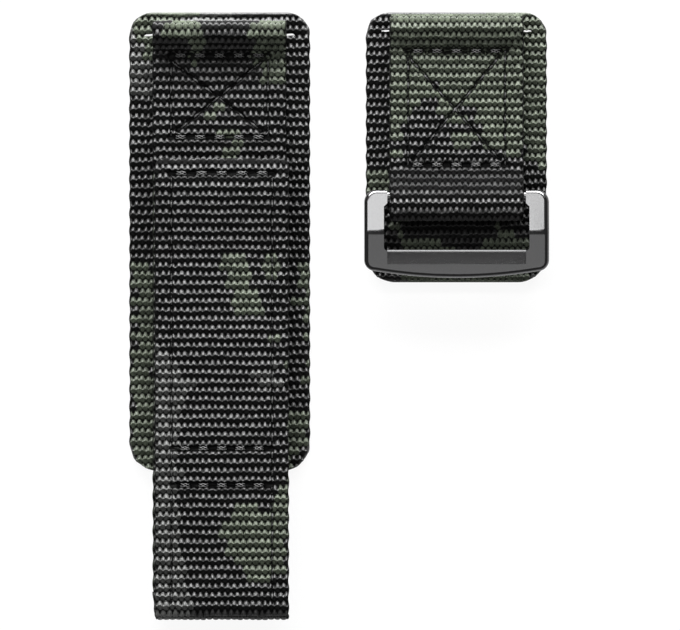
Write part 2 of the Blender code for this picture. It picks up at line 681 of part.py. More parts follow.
recess_half = BUCKLE_WIDTH / 2 - BUCKLE_ARM - BAR_BOSS
recess_angle = math.atan2(RECESS_DEPTH, RECESS_REACH)
bpy.ops.mesh.primitive_cube_add(size=1.0)
recess = as_cutter(bpy.context.object)
recess.name = "recess"
recess.scale = (2 * recess_half, 2 * RECESS_REACH, BUCKLE_THICK)
recess.rotation_euler.x = -recess_angle
ridge = Vector((0.0, sill_y - RECESS_REACH, BUCKLE_THICK / 2))
lift = Vector((0.0, RECESS_REACH, BUCKLE_THICK / 2))
lift.rotate(recess.rotation_euler)
recess.location = ridge + lift
boolean(flat_frame, recess)

buckle = solid_from(flat_frame, "buckle_frame")
shape = bmesh.new()
shape.from_mesh(buckle.data)
crank_half = CRANK_RADIUS * FRAME_CRANK / 2
for step in range(ARC_STEPS):
    cut_y = -BUCKLE_CREASE_REACH + crank_half - 2 * crank_half * step / (ARC_STEPS - 1)
    everything = shape.verts[:] + shape.edges[:] + shape.faces[:]
    bmesh.ops.bisect_plane(shape, geom=everything, plane_co=(0.0, cut_y, 0.0), plane_no=(0.0, 1.0, 0.0))
for vert in shape.verts:
    bent = crank(vert.co.y, vert.co.z)
    vert.co = (vert.co.x, bent[0], bent[1])
shape.to_mesh(buckle.data)
shape.free()
buckle.location = (SHORT_X, bar_y, bar_z)
buckle.rotation_euler.x = -FRAME_TILT
finish(buckle, (0.030, 0.030, 0.031), 0.38, 1.0)
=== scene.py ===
# Looks of the two-piece hook and loop watch strap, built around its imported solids.
# Metres, +Z up, +Y towards the watch head. Blender 4.5.
import math

import bmesh
import bpy
import numpy as np
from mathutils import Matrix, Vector


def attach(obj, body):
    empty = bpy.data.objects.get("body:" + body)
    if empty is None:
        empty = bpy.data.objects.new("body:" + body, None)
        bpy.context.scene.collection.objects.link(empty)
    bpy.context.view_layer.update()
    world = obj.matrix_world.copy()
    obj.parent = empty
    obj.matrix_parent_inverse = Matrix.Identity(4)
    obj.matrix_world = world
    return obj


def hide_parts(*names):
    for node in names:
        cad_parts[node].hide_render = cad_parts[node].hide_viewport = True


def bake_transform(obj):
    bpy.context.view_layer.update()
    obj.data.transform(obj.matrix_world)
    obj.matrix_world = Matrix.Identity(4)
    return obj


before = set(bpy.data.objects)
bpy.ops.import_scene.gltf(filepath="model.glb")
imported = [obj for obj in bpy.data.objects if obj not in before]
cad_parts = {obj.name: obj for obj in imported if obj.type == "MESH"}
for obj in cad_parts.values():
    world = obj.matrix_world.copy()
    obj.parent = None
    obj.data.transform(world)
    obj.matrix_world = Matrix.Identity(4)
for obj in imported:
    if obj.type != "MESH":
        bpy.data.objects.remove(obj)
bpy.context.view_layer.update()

# --- Long pad: a 29.4 mm wide woven band behind the long half, cut and melted with a hot knife,
# with round corners and a slit that the narrow webbing comes up through. The helpers that shape
# and finish woven bands are defined here, because this is the first of them.
RIB = 0.00144
LONG_RIB = 0.00142
FLOAT_WIDTH = 0.00100
WEAVE_DEPTH = 0.00056
SELVEDGE = 0.00034
SCALLOP = 0.00016
SCALLOP_REACH = 0.0024
CORNER_REACH = 0.0060
STRAY_FADE = 0.001
ROW_SLIP = 0.00022
ROW_SWAG = 0.00011
FLOAT_SWAY = 0.00016
MELT_REACH = 0.0007
WORN_REACH = 0.0010
WORN_FADE = 0.0004
# How deep a seam presses a face before its groove and pits get the full painted shade and no sheen
GROOVE_SHADE_DEPTH = 0.00036
# How far in from a selvedge painted shade darkens the floats
EDGE_SHADE_REACH = 0.00045
STRAP_TOP = 0.0492
LONG_X = -0.0193
PAD_WIDTH = 0.0294
PAD_THICK = 0.0015
PAD_TOP_CORNER = 0.0038
PAD_FOOT_CORNER = 0.0047
PAD_HIGH_Z = 0.0021
PAD_LOW_Z = 0.00075
PAD_STEP = 0.00017
PAD_EDGE_STEP = 0.000166
HIDDEN_HALF = 0.0106
HIDDEN_STEP = 0.0004
LONG_PAD_KNEE = 0.02785
LONG_PAD_LAND = 0.00985
LONG_PAD_FOOT = -0.0251
LONG_SLIT_DROP = 0.0036
SLIT_HALF = 0.01215
SLIT_LIP = 0.01075
SLIT_NICK = 0.00015
SLIT_GAPE = 0.00075


def chance(first, second, salt):
    """A repeatable number from 0 to 1 for each pair of whole numbers."""
    mixed = first.astype(np.int64) * 73856093 ^ second.astype(np.int64) * 19349663 ^ salt * 83492791
    mixed = (mixed ^ (mixed >> 13)) * 1274126177 & 0x7FFFFFFF
    mixed = (mixed ^ (mixed >> 15)) * 668265263 & 0x7FFFFFFF
    return (mixed >> 7 & 0xFFFF) / 65535.0


def drift(first, second, salt):
    """Smooth noise from 0 to 1 over two coordinates."""
    low_a, low_b = np.floor(first), np.floor(second)
    a, b = first - low_a, second - low_b
    a, b = a * a * (3 - 2 * a), b * b * (3 - 2 * b)
    near = chance(low_a, low_b, salt) * (1 - a) + chance(low_a + 1, low_b, salt) * a
    far = chance(low_a, low_b + 1, salt) * (1 - a) + chance(low_a + 1, low_b + 1, salt) * a
    return near * (1 - b) + far * b


GREEN_PATCH = (0.0150, 0.0070)
GREEN_RAGS = (0.0050, 0.0028)
GREY_PATCH = (0.0190, 0.0090)
GREY_RAGS = (0.0050, 0.0030)
PATCH_STEP = 0.0016
LEAN_SPAN = (0.03, 0.01)


def camouflage(row, along, across, look):
    """Which yarn comes to the face: 0 black, 0.5 grey, 1 green, in patches that step row by row."""
    salt = look["camo"]
    across = across + PATCH_STEP * (chance(row, 0 * row, salt + 5) - 0.5)
    green = 0.74 * drift(along / GREEN_PATCH[0] + 3.1, across / GREEN_PATCH[1] + 7.7, salt)
    green += 0.26 * drift(along / GREEN_RAGS[0] + 9.4, across / GREEN_RAGS[1] + 2.2, salt + 1)
    green += 0.10 * (chance(row, 0 * row, salt + 6) - 0.5)
    grey = 0.80 * drift(along / GREY_PATCH[0] + 5.5, across / GREY_PATCH[1] + 1.1, salt + 2)
    grey += 0.20 * drift(along / GREY_RAGS[0], across / GREY_RAGS[1], salt + 3)
    for share, lean in ((green, look["green_lean"]), (grey, look["grey_lean"])):
        share += lean[0] * across / LEAN_SPAN[1] + lean[1] * (along - lean[2]) / LEAN_SPAN[0]
    tone = np.where(grey > 1 - look["grey"], 0.5, 0.0)
    return np.where(green > 1 - look["green"], 1.0, tone)


FLOAT_REACH_SHARES = (-0.62, -0.55, -0.44, -0.30, -0.14, -0.04, 0.0, 0.08, 0.22, 0.39, 0.54)
FLOAT_RISE_SHARES = (0.0, 0.20, 0.38, 0.58, 0.81, 0.95, 1.0, 0.82, 0.68, 0.52, 0.36)
FLOAT_HALF_SHARES = (0.06, 0.20, 0.28, 0.34, 0.42, 0.52, 0.58, 0.57, 0.48, 0.32, 0.14)
FINE_RIB_SHARES = (-0.45, -0.34, -0.24, -0.13, -0.04, 0.0, 0.06, 0.14, 0.26, 0.39, 0.45)
COARSE_RIB_SHARES = (-0.45, -0.24, -0.04, 0.0, 0.20, 0.39)


def weave(along, across, side, rib, width, lean, salt):
    """Height of a warp-faced weave from 0 to 1, the rib and end on top, and 1 ahead of its crest.

    Each float is a tongue that rises from a narrow tip to its crest and drops steeply behind it.
    lean is 1 where the tips point to the start of the band and -1 where they point to its end.
    """
    best = np.zeros_like(along)
    middle = best_rib = np.floor(along / rib + 0.5)
    best_end = np.floor(across / width + 0.5)
    ahead = np.zeros_like(along)
    for step in (-1, 0, 1):
        row = middle + step
        shift = 0.5 * np.mod(row + side, 2)
        end = np.floor(across / width - shift + 0.5)
        reach = lean * (along - row * rib) / rib
        aside = np.abs(across / width - shift - end)
        wider = 0.88 + 0.24 * chance(row, end, salt)
        half = wider * np.interp(reach, FLOAT_REACH_SHARES, FLOAT_HALF_SHARES)
        spine = np.interp(reach, FLOAT_REACH_SHARES, FLOAT_RISE_SHARES, 0, 0)
        crown = np.sqrt(np.clip(1 - (aside / half) ** 2, 0, 1))
        rise = spine * (0.50 + 0.50 * crown) * (0.86 + 0.14 * chance(row, end, salt + 2))
        rise = np.where(aside < half, rise, 0)
        higher = rise > best
        best = np.where(higher, rise, best)
        best_rib = np.where(higher, row, best_rib)
        best_end = np.where(higher, end, best_end)
        ahead = np.where(higher, np.clip(1 - reach / 0.12, 0, 1), ahead)
    return best, best_rib, best_end, ahead


def ribbed(stops, shares, look):
    """Marks along a band, stretch by stretch, that follow the crests and tips of its floats."""
    rib, phase = look["rib"], look["start"]
    marks = [stops[:1]]
    for start, end, share in zip(stops, stops[1:], shares):
        rows = np.arange(math.floor((start + phase) / rib) - 1, math.ceil((end + phase) / rib) + 2)
        places = ((rows[:, None] + look["lean"] * np.array(share)) * rib).ravel() - phase
        marks += [np.sort(places[(places > start + 0.00003) & (places < end - 0.00003)]), [end]]
    return np.concatenate(marks)


def arc(centre, radius, start, end, steps=24):
    """Points of an arc about a centre, angles in degrees."""
    angles = np.radians(np.linspace(start, end, steps + 1))
    return [(centre[0] + radius * math.cos(a), centre[1] + radius * math.sin(a)) for a in angles]


def ease(start, end):
    """An S-shaped run between two points, level at both ends."""
    shares = np.linspace(0, 1, 25)
    blends = (1 - np.cos(math.pi * shares)) / 2
    return [(start[0] + (end[0] - start[0]) * s, start[1] + (end[1] - start[1]) * b)
            for s, b in zip(shares, blends)]


def distances(points):
    """How far each point of a path lies along it."""
    return np.concatenate([[0], np.cumsum(np.hypot(*np.diff(points, axis=0).T))])


class Line:
    """The middle line of a band, seen from the side, softened at its kinks."""

    def __init__(self, points, softness=0.00025, step=0.00005):
        kept = [points[0]]
        for point in points[1:]:
            if math.dist(point, kept[-1]) > 1e-6:
                kept.append(point)
        kept = np.array(kept)
        marks = distances(kept)
        fine = np.linspace(0, marks[-1], int(marks[-1] / step) + 1)
        place = np.stack([np.interp(fine, marks, kept[:, 0]), np.interp(fine, marks, kept[:, 1])], 1)
        reach = int(3 * softness / step)
        kernel = np.exp(-0.5 * (np.arange(-reach, reach + 1) * step / softness) ** 2)
        kernel /= kernel.sum()
        first = place[0] + (place[1] - place[0]) * np.arange(-reach, 0)[:, None]
        last = place[-1] + (place[-1] - place[-2]) * np.arange(1, reach + 1)[:, None]
        padded = np.concatenate([first, place, last])
        self.place = np.stack([np.convolve(padded[:, k], kernel, "valid") for k in (0, 1)], 1)
        slope = np.gradient(self.place, axis=0)
        self.slope = slope / np.linalg.norm(slope, axis=1)[:, None]
        self.marks = distances(self.place)
        self.length = self.marks[-1]

    def y_at(self, marks):
        """The y of points at distances along the line."""
        return np.interp(marks, self.marks, self.place[:, 0])

    def at(self, marks):
        """Point and normal at distances along the line."""
        z = np.interp(marks, self.marks, self.place[:, 1])
        run = np.interp(marks, self.marks, self.slope[:, 0])
        rise = np.interp(marks, self.marks, self.slope[:, 1])
        size = np.hypot(run, rise)
        return self.y_at(marks), z, -rise / size, run / size

    def mark_of(self, y, after=0.0, before=1.0):
        """Distances along the line, within a stretch, at which it passes a given y or several."""
        where = np.flatnonzero((self.marks >= after) & (self.marks <= before))
        order = where[np.argsort(self.place[where, 0])]
        return np.interp(y, self.place[order, 0], self.marks[order])


def spread(stops, steps):
    """Places from stop to stop, evenly spaced by no more than the step of each stretch."""
    places = [stops[0]]
    for start, end, step in zip(stops, stops[1:], steps):
        count = max(1, math.ceil(abs(end - start) / step - 1e-6))
        places += list(np.linspace(start, end, count + 1)[1:])
    return np.array(places)


def rounded_end(marks, near, far):
    """Marks with extra ones close to the cut ends of a band, so that its ends can round over."""
    start, end = min(marks), max(marks)
    drops = SELVEDGE * (1 - np.cos(np.radians([0, 18, 38, 62])))
    clear = 0.6 * SELVEDGE
    kept = [m for m in marks if (not near or m > start + clear) and (not far or m < end - clear)]
    kept += list(start + drops) * near + list(end - drops) * far
    return np.array(sorted(set(np.round(kept, 9))))


def set_in(depth, radius):
    """How far the edge of a round corner stands in, at a depth from the band's end."""
    near = np.clip(depth, 0, radius)
    return radius - np.sqrt(near * (2 * radius - near))


def placed(name, mesh):
    """An object that shows a mesh."""
    obj = bpy.data.objects.new(name, mesh)
    bpy.context.scene.collection.objects.link(obj)
    return obj


# The values of a band's weave and camouflage. start shifts its rows, and green_edge is the mark
# past which its left selvedge is green.
WOVEN = {"rib": RIB, "float": FLOAT_WIDTH, "depth": WEAVE_DEPTH, "scallop": SCALLOP, "start": 0.0,
         "lean": 1, "stray": 1.0, "green": 0.0, "grey": 0.0, "green_lean": (0, 0, 0),
         "grey_lean": (0, 0, 0), "green_edge": 1.0}


def woven_band(name, line, marks, faces, width, thick, centre_x, look, ends=(True, True), corners=(0, 0),
               press=None, hole=None, surface=weave, tip=None):
    """A woven band: both faces carry the floats of its weave, and its edges are selvedges.

    faces holds the places of the columns on the two faces, plus side first, and ends says which
    ends are cut. press gives how deep seams pull the face down, hole the slit's half sizes in a
    band that a hot knife cuts, and tip the place in y and the corners' radius of a turned end.
    """
    marks = rounded_end(marks, *ends)
    start, end = marks[0], marks[-1]
    half = width / 2
    rim_x = half - SELVEDGE * (1 - np.sin(np.radians([22, 45, 68])))
    front, back = (np.concatenate([-rim_x[::-1], columns, rim_x]) for columns in faces)
    ring_x = np.concatenate([[-half], front, [half], back[::-1]])
    side = np.concatenate([[0], np.ones(len(front)), [0], -np.ones(len(back))]).astype(int)[None, :]
    along, across = np.meshgrid(marks, ring_x, indexing="ij")

    reach = np.abs(across)
    rounding = np.sqrt(1 - np.clip((reach - half) / SELVEDGE + 1, 0, 1) ** 2)
    outer = np.clip((reach - half) / SCALLOP_REACH + 1, 0, 1)
    turn = np.where(across < 0, 0.0, math.pi)
    scallop = look["scallop"] * (0.5 + 0.5 * np.cos(math.pi * along / look["rib"] + turn)) * outer ** 2
    inset = set_in(along - start, corners[0]) + set_in(end - along, corners[1])
    if tip:
        inset += set_in(tip[0] - line.y_at(along), tip[1])
    inset *= np.clip((reach - half) / CORNER_REACH + 1, 0, 1)
    across = np.sign(across) * (reach - scallop - inset)
    taper = 1.0
    for depth, cut in ((along - start, ends[0]), (end - along, ends[1])):
        if cut:
            near = 1 - np.clip(depth, 0, SELVEDGE) / SELVEDGE
            taper = taper * np.sqrt(np.clip(1 - near ** 2, 0.02, 1))

    salt = look["salt"]
    rise, rib, float_end, ahead = surface(along + look["start"], across, (side < 0) * 1, look["rib"],
                                          look["float"], look["lean"], salt)
    stray = look["stray"] * np.clip(np.minimum(along - start, end - along) / STRAY_FADE, 0, 1)
    cell_u, cell_x = along / look["rib"], across / look["float"]
    slip = stray * ROW_SLIP * (drift(cell_u, cell_x / 1.3, salt + 20) - 0.5)
    cell_v = (along + look["start"]) / look["rib"]
    crest = np.floor(cell_v + 0.5)
    swag = np.cos(2 * math.pi * (cell_x - 0.5 * np.mod(crest + (side < 0), 2)))
    slip -= stray * look["lean"] * ROW_SWAG * swag * np.cos(math.pi * (cell_v - crest)) ** 2
    sway = stray * FLOAT_SWAY * (drift(cell_u * 1.1, cell_x, salt + 21) - 0.5)
    sway *= np.clip((half - 0.0004 - reach) / 0.0008, 0, 1)
    low = press(along, across, side) if press else 0 * along
    rim = 0 * along
    if hole:
        edge_gap = np.minimum(along - start, end - along)
        corner_gap = np.where(inset > 0, half - reach, 1.0)
        rim = np.clip(1 - np.minimum(edge_gap, corner_gap) / MELT_REACH, 0, 1)
        rise = rise + (0.6 - rise) * rim * 0.8
    if tip:
        worn = np.clip((line.y_at(along) - tip[0] + WORN_REACH) / WORN_FADE, 0, 1)
        rise = rise * (1 - worn * (0.05 + 0.85 * chance(float_end, rib, salt + 12)))
    y, z, normal_y, normal_z = line.at(along + slip)
    lift = ((thick / 2 - look["depth"] + look["depth"] * rise) * taper - low) * rounding
    lift = np.maximum(lift, -0.4 * thick)
    points = np.stack([across + sway + centre_x, y + normal_y * lift * side, z + normal_z * lift * side], -1)

    tone = camouflage(rib, rib * look["rib"], (float_end + 0.5 * np.mod(rib, 2)) * look["float"], look)
    tone = np.where((across < SELVEDGE - half) & (along > look["green_edge"]), 1.0, tone)
    count, ring = along.shape
    index = np.arange(count * ring).reshape(count, ring)
    turned = np.roll(index, -1, 1)
    quads = np.stack([index[:-1], turned[:-1], turned[1:], index[1:]], -1).reshape(-1, 4)
    if hole:
        middle_u = np.abs((marks[:-1] + marks[1:]) / 2 - start - hole["drop"])[:, None]
        middle_x = np.abs((ring_x + np.roll(ring_x, -1)) / 2)[None, :]
        inside = (middle_u < hole["gape"]) & (middle_x < hole["lip"])
        inside |= (middle_u < hole["nick"]) & (middle_x < hole["half"])
        quads = quads[~inside.ravel()]
    mesh = bpy.data.meshes.new(name)
    mesh.from_pydata(points.reshape(-1, 3).tolist(), [], quads.tolist())
    # The lift mask: the float's rise, taken to 0 in seam grooves and pits and at the selvedges. The yarn
    # finish darkens the colour where it is low, as painted shade, and times ahead it sets where the coat's
    # sheen goes.
    shade_and_gloss_mask = rise * np.clip(1 - low / GROOVE_SHADE_DEPTH, 0, 1) * np.clip((half - reach) / EDGE_SHADE_REACH, 0, 1)
    values = {"tone": tone, "lift": shade_and_gloss_mask, "bright": shade_and_gloss_mask * ahead,
              "strand": chance(float_end, rib, salt + 9), "melt": rim}
    for key, value in values.items():
        layer = mesh.attributes.new(key, "FLOAT", "POINT")
        layer.data.foreach_set("value", value.astype(np.float32).ravel())
    cloth = np.stack([across, along, side * 0.01 + 0 * along], -1)
    layer = mesh.attributes.new("cloth", "FLOAT_VECTOR", "POINT")
    layer.data.foreach_set("vector", cloth.astype(np.float32).ravel())
    shape = bmesh.new()
    shape.from_mesh(mesh)
    shape.verts.ensure_lookup_table()
    for row, cut in ((0, ends[0]), (count - 1, ends[1])):
        for edge in shape.faces.new([shape.verts[i] for i in index[row]]).edges:
            edge.smooth = cut
    if hole:
        bmesh.ops.bridge_loops(shape, edges=[e for e in shape.edges if len(e.link_faces) == 1])
    loose = [v for v in shape.verts if not v.link_faces]
    bmesh.ops.delete(shape, geom=loose, context="VERTS")
    bmesh.ops.recalc_face_normals(shape, faces=shape.faces)
    shape.to_mesh(mesh)
    shape.free()
    mesh.shade_smooth()
    return placed(name, mesh)


def fill(tree, made, sockets):
    """Give a node's input sockets their values, or the outputs that feed them."""
    for socket, value in sockets.items():
        if isinstance(value, bpy.types.NodeSocket):
            tree.links.new(value, made.inputs[socket])
        else:
            made.inputs[socket].default_value = value


def node(tree, kind, sockets, **settings):
    """A node of a tree with its settings and what its input sockets hold."""
    made = tree.nodes.new(kind)
    for key, value in settings.items():
        setattr(made, key, value)
    fill(tree, made, sockets)
    return made


def maths(tree, operation, *terms):
    """The result of a sum or a comparison of outputs and numbers."""
    return node(tree, "ShaderNodeMath", dict(enumerate(terms)), operation=operation).outputs[0]


def ranged(tree, *terms):
    """A value moved from one range to another: value, from low, from high, to low, to high."""
    return node(tree, "ShaderNodeMapRange", dict(enumerate(terms))).outputs[0]


def mixed(tree, share, first, second):
    """A colour between two others."""
    return node(tree, "ShaderNodeMix", {0: share, 6: first, 7: second}, data_type="RGBA").outputs[2]


def grains(tree, place, stretch, **values):
    """Noise over a place whose axes are stretched."""
    at = node(tree, "ShaderNodeVectorMath", {0: place, 1: stretch}, operation="MULTIPLY").outputs[0]
    return node(tree, "ShaderNodeTexNoise", {"Vector": at, "Scale": 1.0, **values}).outputs[0]


def new_material(name):
    """A material, its node tree and its shader."""
    material = bpy.data.materials.new(name)
    material.use_nodes = True
    return material, material.node_tree, material.node_tree.nodes["Principled BSDF"]


def yarn_group():
    """Finish of woven yarn: colour by the float on top, with painted shade in the gaps, seam grooves and
    selvedges where the lift mask is low, and fine filaments.
    """
    group = bpy.data.node_groups.new("woven_yarn", "ShaderNodeTree")
    for label in ("Black Yarn", "Grey Yarn", "Green Yarn"):
        group.interface.new_socket(label, in_out="INPUT", socket_type="NodeSocketColor")
    for label in ("Gap Shade", "Sheen"):
        group.interface.new_socket(label, in_out="INPUT", socket_type="NodeSocketFloat")
    group.interface.new_socket("Colour", in_out="OUTPUT", socket_type="NodeSocketColor")
    for label in ("Gloss", "Height"):
        group.interface.new_socket(label, in_out="OUTPUT", socket_type="NodeSocketFloat")
    source = node(group, "NodeGroupInput", {}).outputs
    tone, lift, bright, strand, melt = (
        node(group, "ShaderNodeAttribute", {}, attribute_name=name).outputs["Fac"]
        for name in ("tone", "lift", "bright", "strand", "melt"))
    cloth = node(group, "ShaderNodeAttribute", {}, attribute_name="cloth").outputs["Vector"]
    greyer = maths(group, "COMPARE", tone, 0.5, 0.25)
    greener = maths(group, "GREATER_THAN", tone, 0.75)
    yarn = mixed(group, greyer, source["Black Yarn"], source["Grey Yarn"])
    yarn = mixed(group, greener, yarn, source["Green Yarn"])
    filaments = grains(group, cloth, (5600.0, 1700.0, 100.0), Detail=3.0, Roughness=0.6)
    specks = grains(group, cloth, (5400.0, 4600.0, 100.0), Detail=1.0)

    vary = ranged(group, strand, 0.0, 1.0, 0.78, 1.22)
    fine = ranged(group, filaments, 0.3, 0.7, 0.48, 1.52)
    # Painted shade: the colour darkens to the Gap Shade share where the lift mask is low, in gaps, seam
    # grooves and pits and at selvedges.
    gap = ranged(group, lift, 0.12, 0.42, source["Gap Shade"], 1.0)
    shade = maths(group, "MULTIPLY", maths(group, "MULTIPLY", vary, fine), gap)
    colour = node(group, "ShaderNodeVectorMath", {0: yarn, "Scale": shade}, operation="SCALE")

    grain = ranged(group, maths(group, "MULTIPLY", specks, filaments), 0.15, 0.33, 0.40, 0.72)
    shiny = maths(group, "MAXIMUM", ranged(group, bright, 0.12, 0.50, 0.0, grain), melt)
    dull = maths(group, "MULTIPLY_ADD", greener, -0.55, 1.0)
    dull = maths(group, "MULTIPLY_ADD", greyer, -0.20, dull)
    sheen = maths(group, "MULTIPLY", dull, source["Sheen"])
    node(group, "NodeGroupOutput", {"Colour": colour.outputs[0],
                                    "Gloss": maths(group, "MULTIPLY", shiny, sheen),
                                    "Height": maths(group, "ADD", filaments, specks)})
    return group


woven_yarn = yarn_group()


BLACK_YARN = (0.006, 0.006, 0.006, 1)
GREY_YARN = (0.056, 0.057, 0.055, 1)
GREEN_YARN = (0.062, 0.072, 0.053, 1)


def woven_material(name, black=BLACK_YARN, gap_shade=0.06, sheen=1.0):
    """A woven finish in the three yarn colours, whose floats carry a sheen and whose gaps are dull, their
    colour darkened as painted shade.
    """
    material, tree, shader = new_material(name)
    yarn = node(tree, "ShaderNodeGroup", {"Black Yarn": black, "Grey Yarn": GREY_YARN,
                                          "Green Yarn": GREEN_YARN, "Gap Shade": gap_shade,
                                          "Sheen": sheen}, node_tree=woven_yarn).outputs
    bump = node(tree, "ShaderNodeBump", {"Strength": 0.8, "Distance": 0.00005, "Height": yarn["Height"]})
    fill(tree, shader, {"Base Color": yarn["Colour"], "Roughness": 0.9, "Specular IOR Level": 0.15,
                        "Coat Weight": yarn["Gloss"], "Coat Roughness": 0.40, "Coat IOR": 1.7,
                        "Normal": bump.outputs["Normal"], "Coat Normal": bump.outputs["Normal"]})
    return material


pad_edge = PAD_WIDTH / 2 - SELVEDGE
pad_back_columns = spread([-pad_edge, -SLIT_HALF, -SLIT_LIP, SLIT_LIP, SLIT_HALF, pad_edge],
                          [0.00045, 0.0005, 0.0006, 0.0005, 0.00045])


def pad(name, centre_x, knee, land, foot, slit_drop, look, hidden_step):
    """A woven pad with its slit, round corners and melted ends, which comes down from knee to land."""
    line = Line([(STRAP_TOP, PAD_HIGH_Z), (knee, PAD_HIGH_Z), (land, PAD_LOW_Z), (foot, PAD_LOW_Z)])
    pad_columns = spread([-pad_edge, -SLIT_HALF, -SLIT_LIP, -HIDDEN_HALF, HIDDEN_HALF, SLIT_LIP, SLIT_HALF,
                          pad_edge],
                         [PAD_EDGE_STEP, PAD_STEP, PAD_STEP, hidden_step, PAD_STEP, PAD_STEP, PAD_EDGE_STEP])
    marks = ribbed((0, line.length), (FINE_RIB_SHARES,), look)
    slit = slit_drop + np.array([-SLIT_GAPE, -SLIT_NICK, SLIT_NICK, SLIT_GAPE])
    marks = marks[np.abs(marks[:, None] - slit).min(1) > 0.00007]
    hole = {"drop": slit_drop, "half": SLIT_HALF, "lip": SLIT_LIP, "nick": SLIT_NICK, "gape": SLIT_GAPE}
    return woven_band(name, line, np.concatenate([marks, slit]), (pad_back_columns, pad_columns), PAD_WIDTH,
                      PAD_THICK, centre_x, look, corners=(PAD_TOP_CORNER, PAD_FOOT_CORNER), hole=hole)


long_pad = pad("long_pad_weave", LONG_X, LONG_PAD_KNEE, LONG_PAD_LAND, LONG_PAD_FOOT, LONG_SLIT_DROP,
               {**WOVEN, "rib": LONG_RIB, "salt": 11, "camo": 1343, "green": 0.34, "grey": 0.20,
                "green_lean": (0.0, 0.05, 0.03)}, HIDDEN_STEP)
long_pad.data.materials.append(woven_material("long_pad_weave"))
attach(long_pad, "long_half")
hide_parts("long_pad")

# --- Long webbing: 22 mm webbing whose tail is sewn behind the pad. It comes up through the slit,
# goes round the lug loop and down the front, and runs on under the tongue. Its box seam pulls the
# face into grooves. One line from tail to hem shapes this band, the fold and the tongue.
WEB_WIDTH = 0.0218
WEB_THICK = 0.0012
LONG_TAIL_END = 0.0281
LONG_SLIT_Y = 0.0456
SLIT_TURN = 0.00075
TAIL_Z = 0.0006
FRONT_Z = 0.0036
CREST_Z = 0.0064
LONG_LOOP_Y = 0.04635
LONG_LOOP_ROUND = 0.00095
LOOP_RAMP = 0.0037
LOOP_LEVEL = 0.0005
RUN_Z = 0.00225
RUN_END_Y = -0.046875
FOLD_RADIUS = 0.001725
TONGUE_Z = RUN_Z + 2 * FOLD_RADIUS
TONGUE_SETTLE = (0.02085, 0.006525)
HEM_Y = 0.024825
HEM_Z = 0.005498
HEM_RADIUS = 0.000675
HEM_END = (0.0226, 0.004656)
LONG_BOX = (-0.00785, 0.0290, 0.00785, 0.0422)
LONG_ROW_Y = 0.0456
LONG_SHOWS = (0.0430, 0.0235)
BOX_INSET = 0.0009
STITCH_PITCH = 0.0031
HIGHEST, LOWEST = 1.0, -1.0


def lug_loop(tail_end, slit_y, loop_y, loop_round, front_z):
    """Side view of a webbing from its tail up through the slit, round the lug loop, to the front."""
    points = [(tail_end, TAIL_Z)]
    points += arc((slit_y - SLIT_TURN, TAIL_Z + SLIT_TURN), SLIT_TURN, -90, 0)
    points += arc((slit_y + SLIT_TURN, FRONT_Z - SLIT_TURN), SLIT_TURN, 180, 90)
    points += arc((loop_y, FRONT_Z + loop_round), loop_round, -90, 0)
    points += arc((loop_y, CREST_Z - loop_round), loop_round, 0, 90)
    shares = np.linspace(0, 1, 25)
    drops = 0.45 * shares + 0.55 * (1 - np.cos(math.pi * shares)) / 2
    return points + [(loop_y - LOOP_LEVEL - (LOOP_RAMP - LOOP_LEVEL) * s, CREST_Z + (front_z - CREST_Z) * d)
                     for s, d in zip(shares, drops)]


long_line = Line(
    lug_loop(LONG_TAIL_END, LONG_SLIT_Y, LONG_LOOP_Y, LONG_LOOP_ROUND, FRONT_Z)
    + [(LONG_PAD_KNEE, FRONT_Z), (LONG_PAD_LAND, RUN_Z)]
    + arc((RUN_END_Y, RUN_Z + FOLD_RADIUS), FOLD_RADIUS, -90, -270, 48)
    + [(LONG_PAD_LAND, TONGUE_Z)]
    + ease(TONGUE_SETTLE, (HEM_Y, HEM_Z + HEM_RADIUS))
    + arc((HEM_Y, HEM_Z), HEM_RADIUS, 90, -90)
    + [HEM_END])
crest_mark = long_line.mark_of(HIGHEST, 0.018, 0.030)
fold_start = long_line.mark_of(RUN_END_Y, crest_mark, crest_mark + 0.094)
fold_end = fold_start + math.pi * FOLD_RADIUS
hem_mark = long_line.mark_of(HIGHEST, fold_end, long_line.length)


def groove(across, y, runs, reach):
    """How close points lie to straight runs of sewing: 1 on a run, fading to 0."""
    best = np.zeros_like(across)
    for (x0, y0), (x1, y1) in runs:
        run_x, run_y = x1 - x0, y1 - y0
        share = ((across - x0) * run_x + (y - y0) * run_y) / (run_x ** 2 + run_y ** 2)
        share = np.clip(share, 0, 1)
        gap = np.hypot(across - x0 - share * run_x, y - y0 - share * run_y)
        best = np.maximum(best, np.exp(-(gap / reach) ** 2))
    return best


def needle_holes(corners):
    """Where the needle went through along straight runs."""
    holes = [corners[0]]
    for (x0, y0), (x1, y1) in zip(corners, corners[1:]):
        count = max(1, round(math.dist((x0, y0), (x1, y1)) / STITCH_PITCH))
        holes += [(x0 + (x1 - x0) * k / count, y0 + (y1 - y0) * k / count) for k in range(1, count + 1)]
    return holes


# The depth and reach of the groove under level, upright and slanted runs, and of a needle's pit
GROOVES = ((0.00044, 0.00042), (0.00046, 0.00018), (0.00056, 0.00026))
PIT_DEPTH = 0.00044
PIT_REACH = (0.00064, 0.00050)


def sewn_press(across, y, runs, holes):
    """How deep a seam pulls a face down, with a long pit at each needle hole of its level runs."""
    deep = np.zeros_like(across)
    for (depth, reach), lines in zip(GROOVES, runs):
        deep = np.maximum(deep, depth * groove(across, y, lines, reach))
    pits = np.zeros_like(deep)
    for x, hole_y in holes:
        apart = ((across - x) / PIT_REACH[0]) ** 2 + ((y - hole_y) / PIT_REACH[1]) ** 2
        pits = np.maximum(pits, np.exp(-apart ** 2))
    return deep + PIT_DEPTH * pits


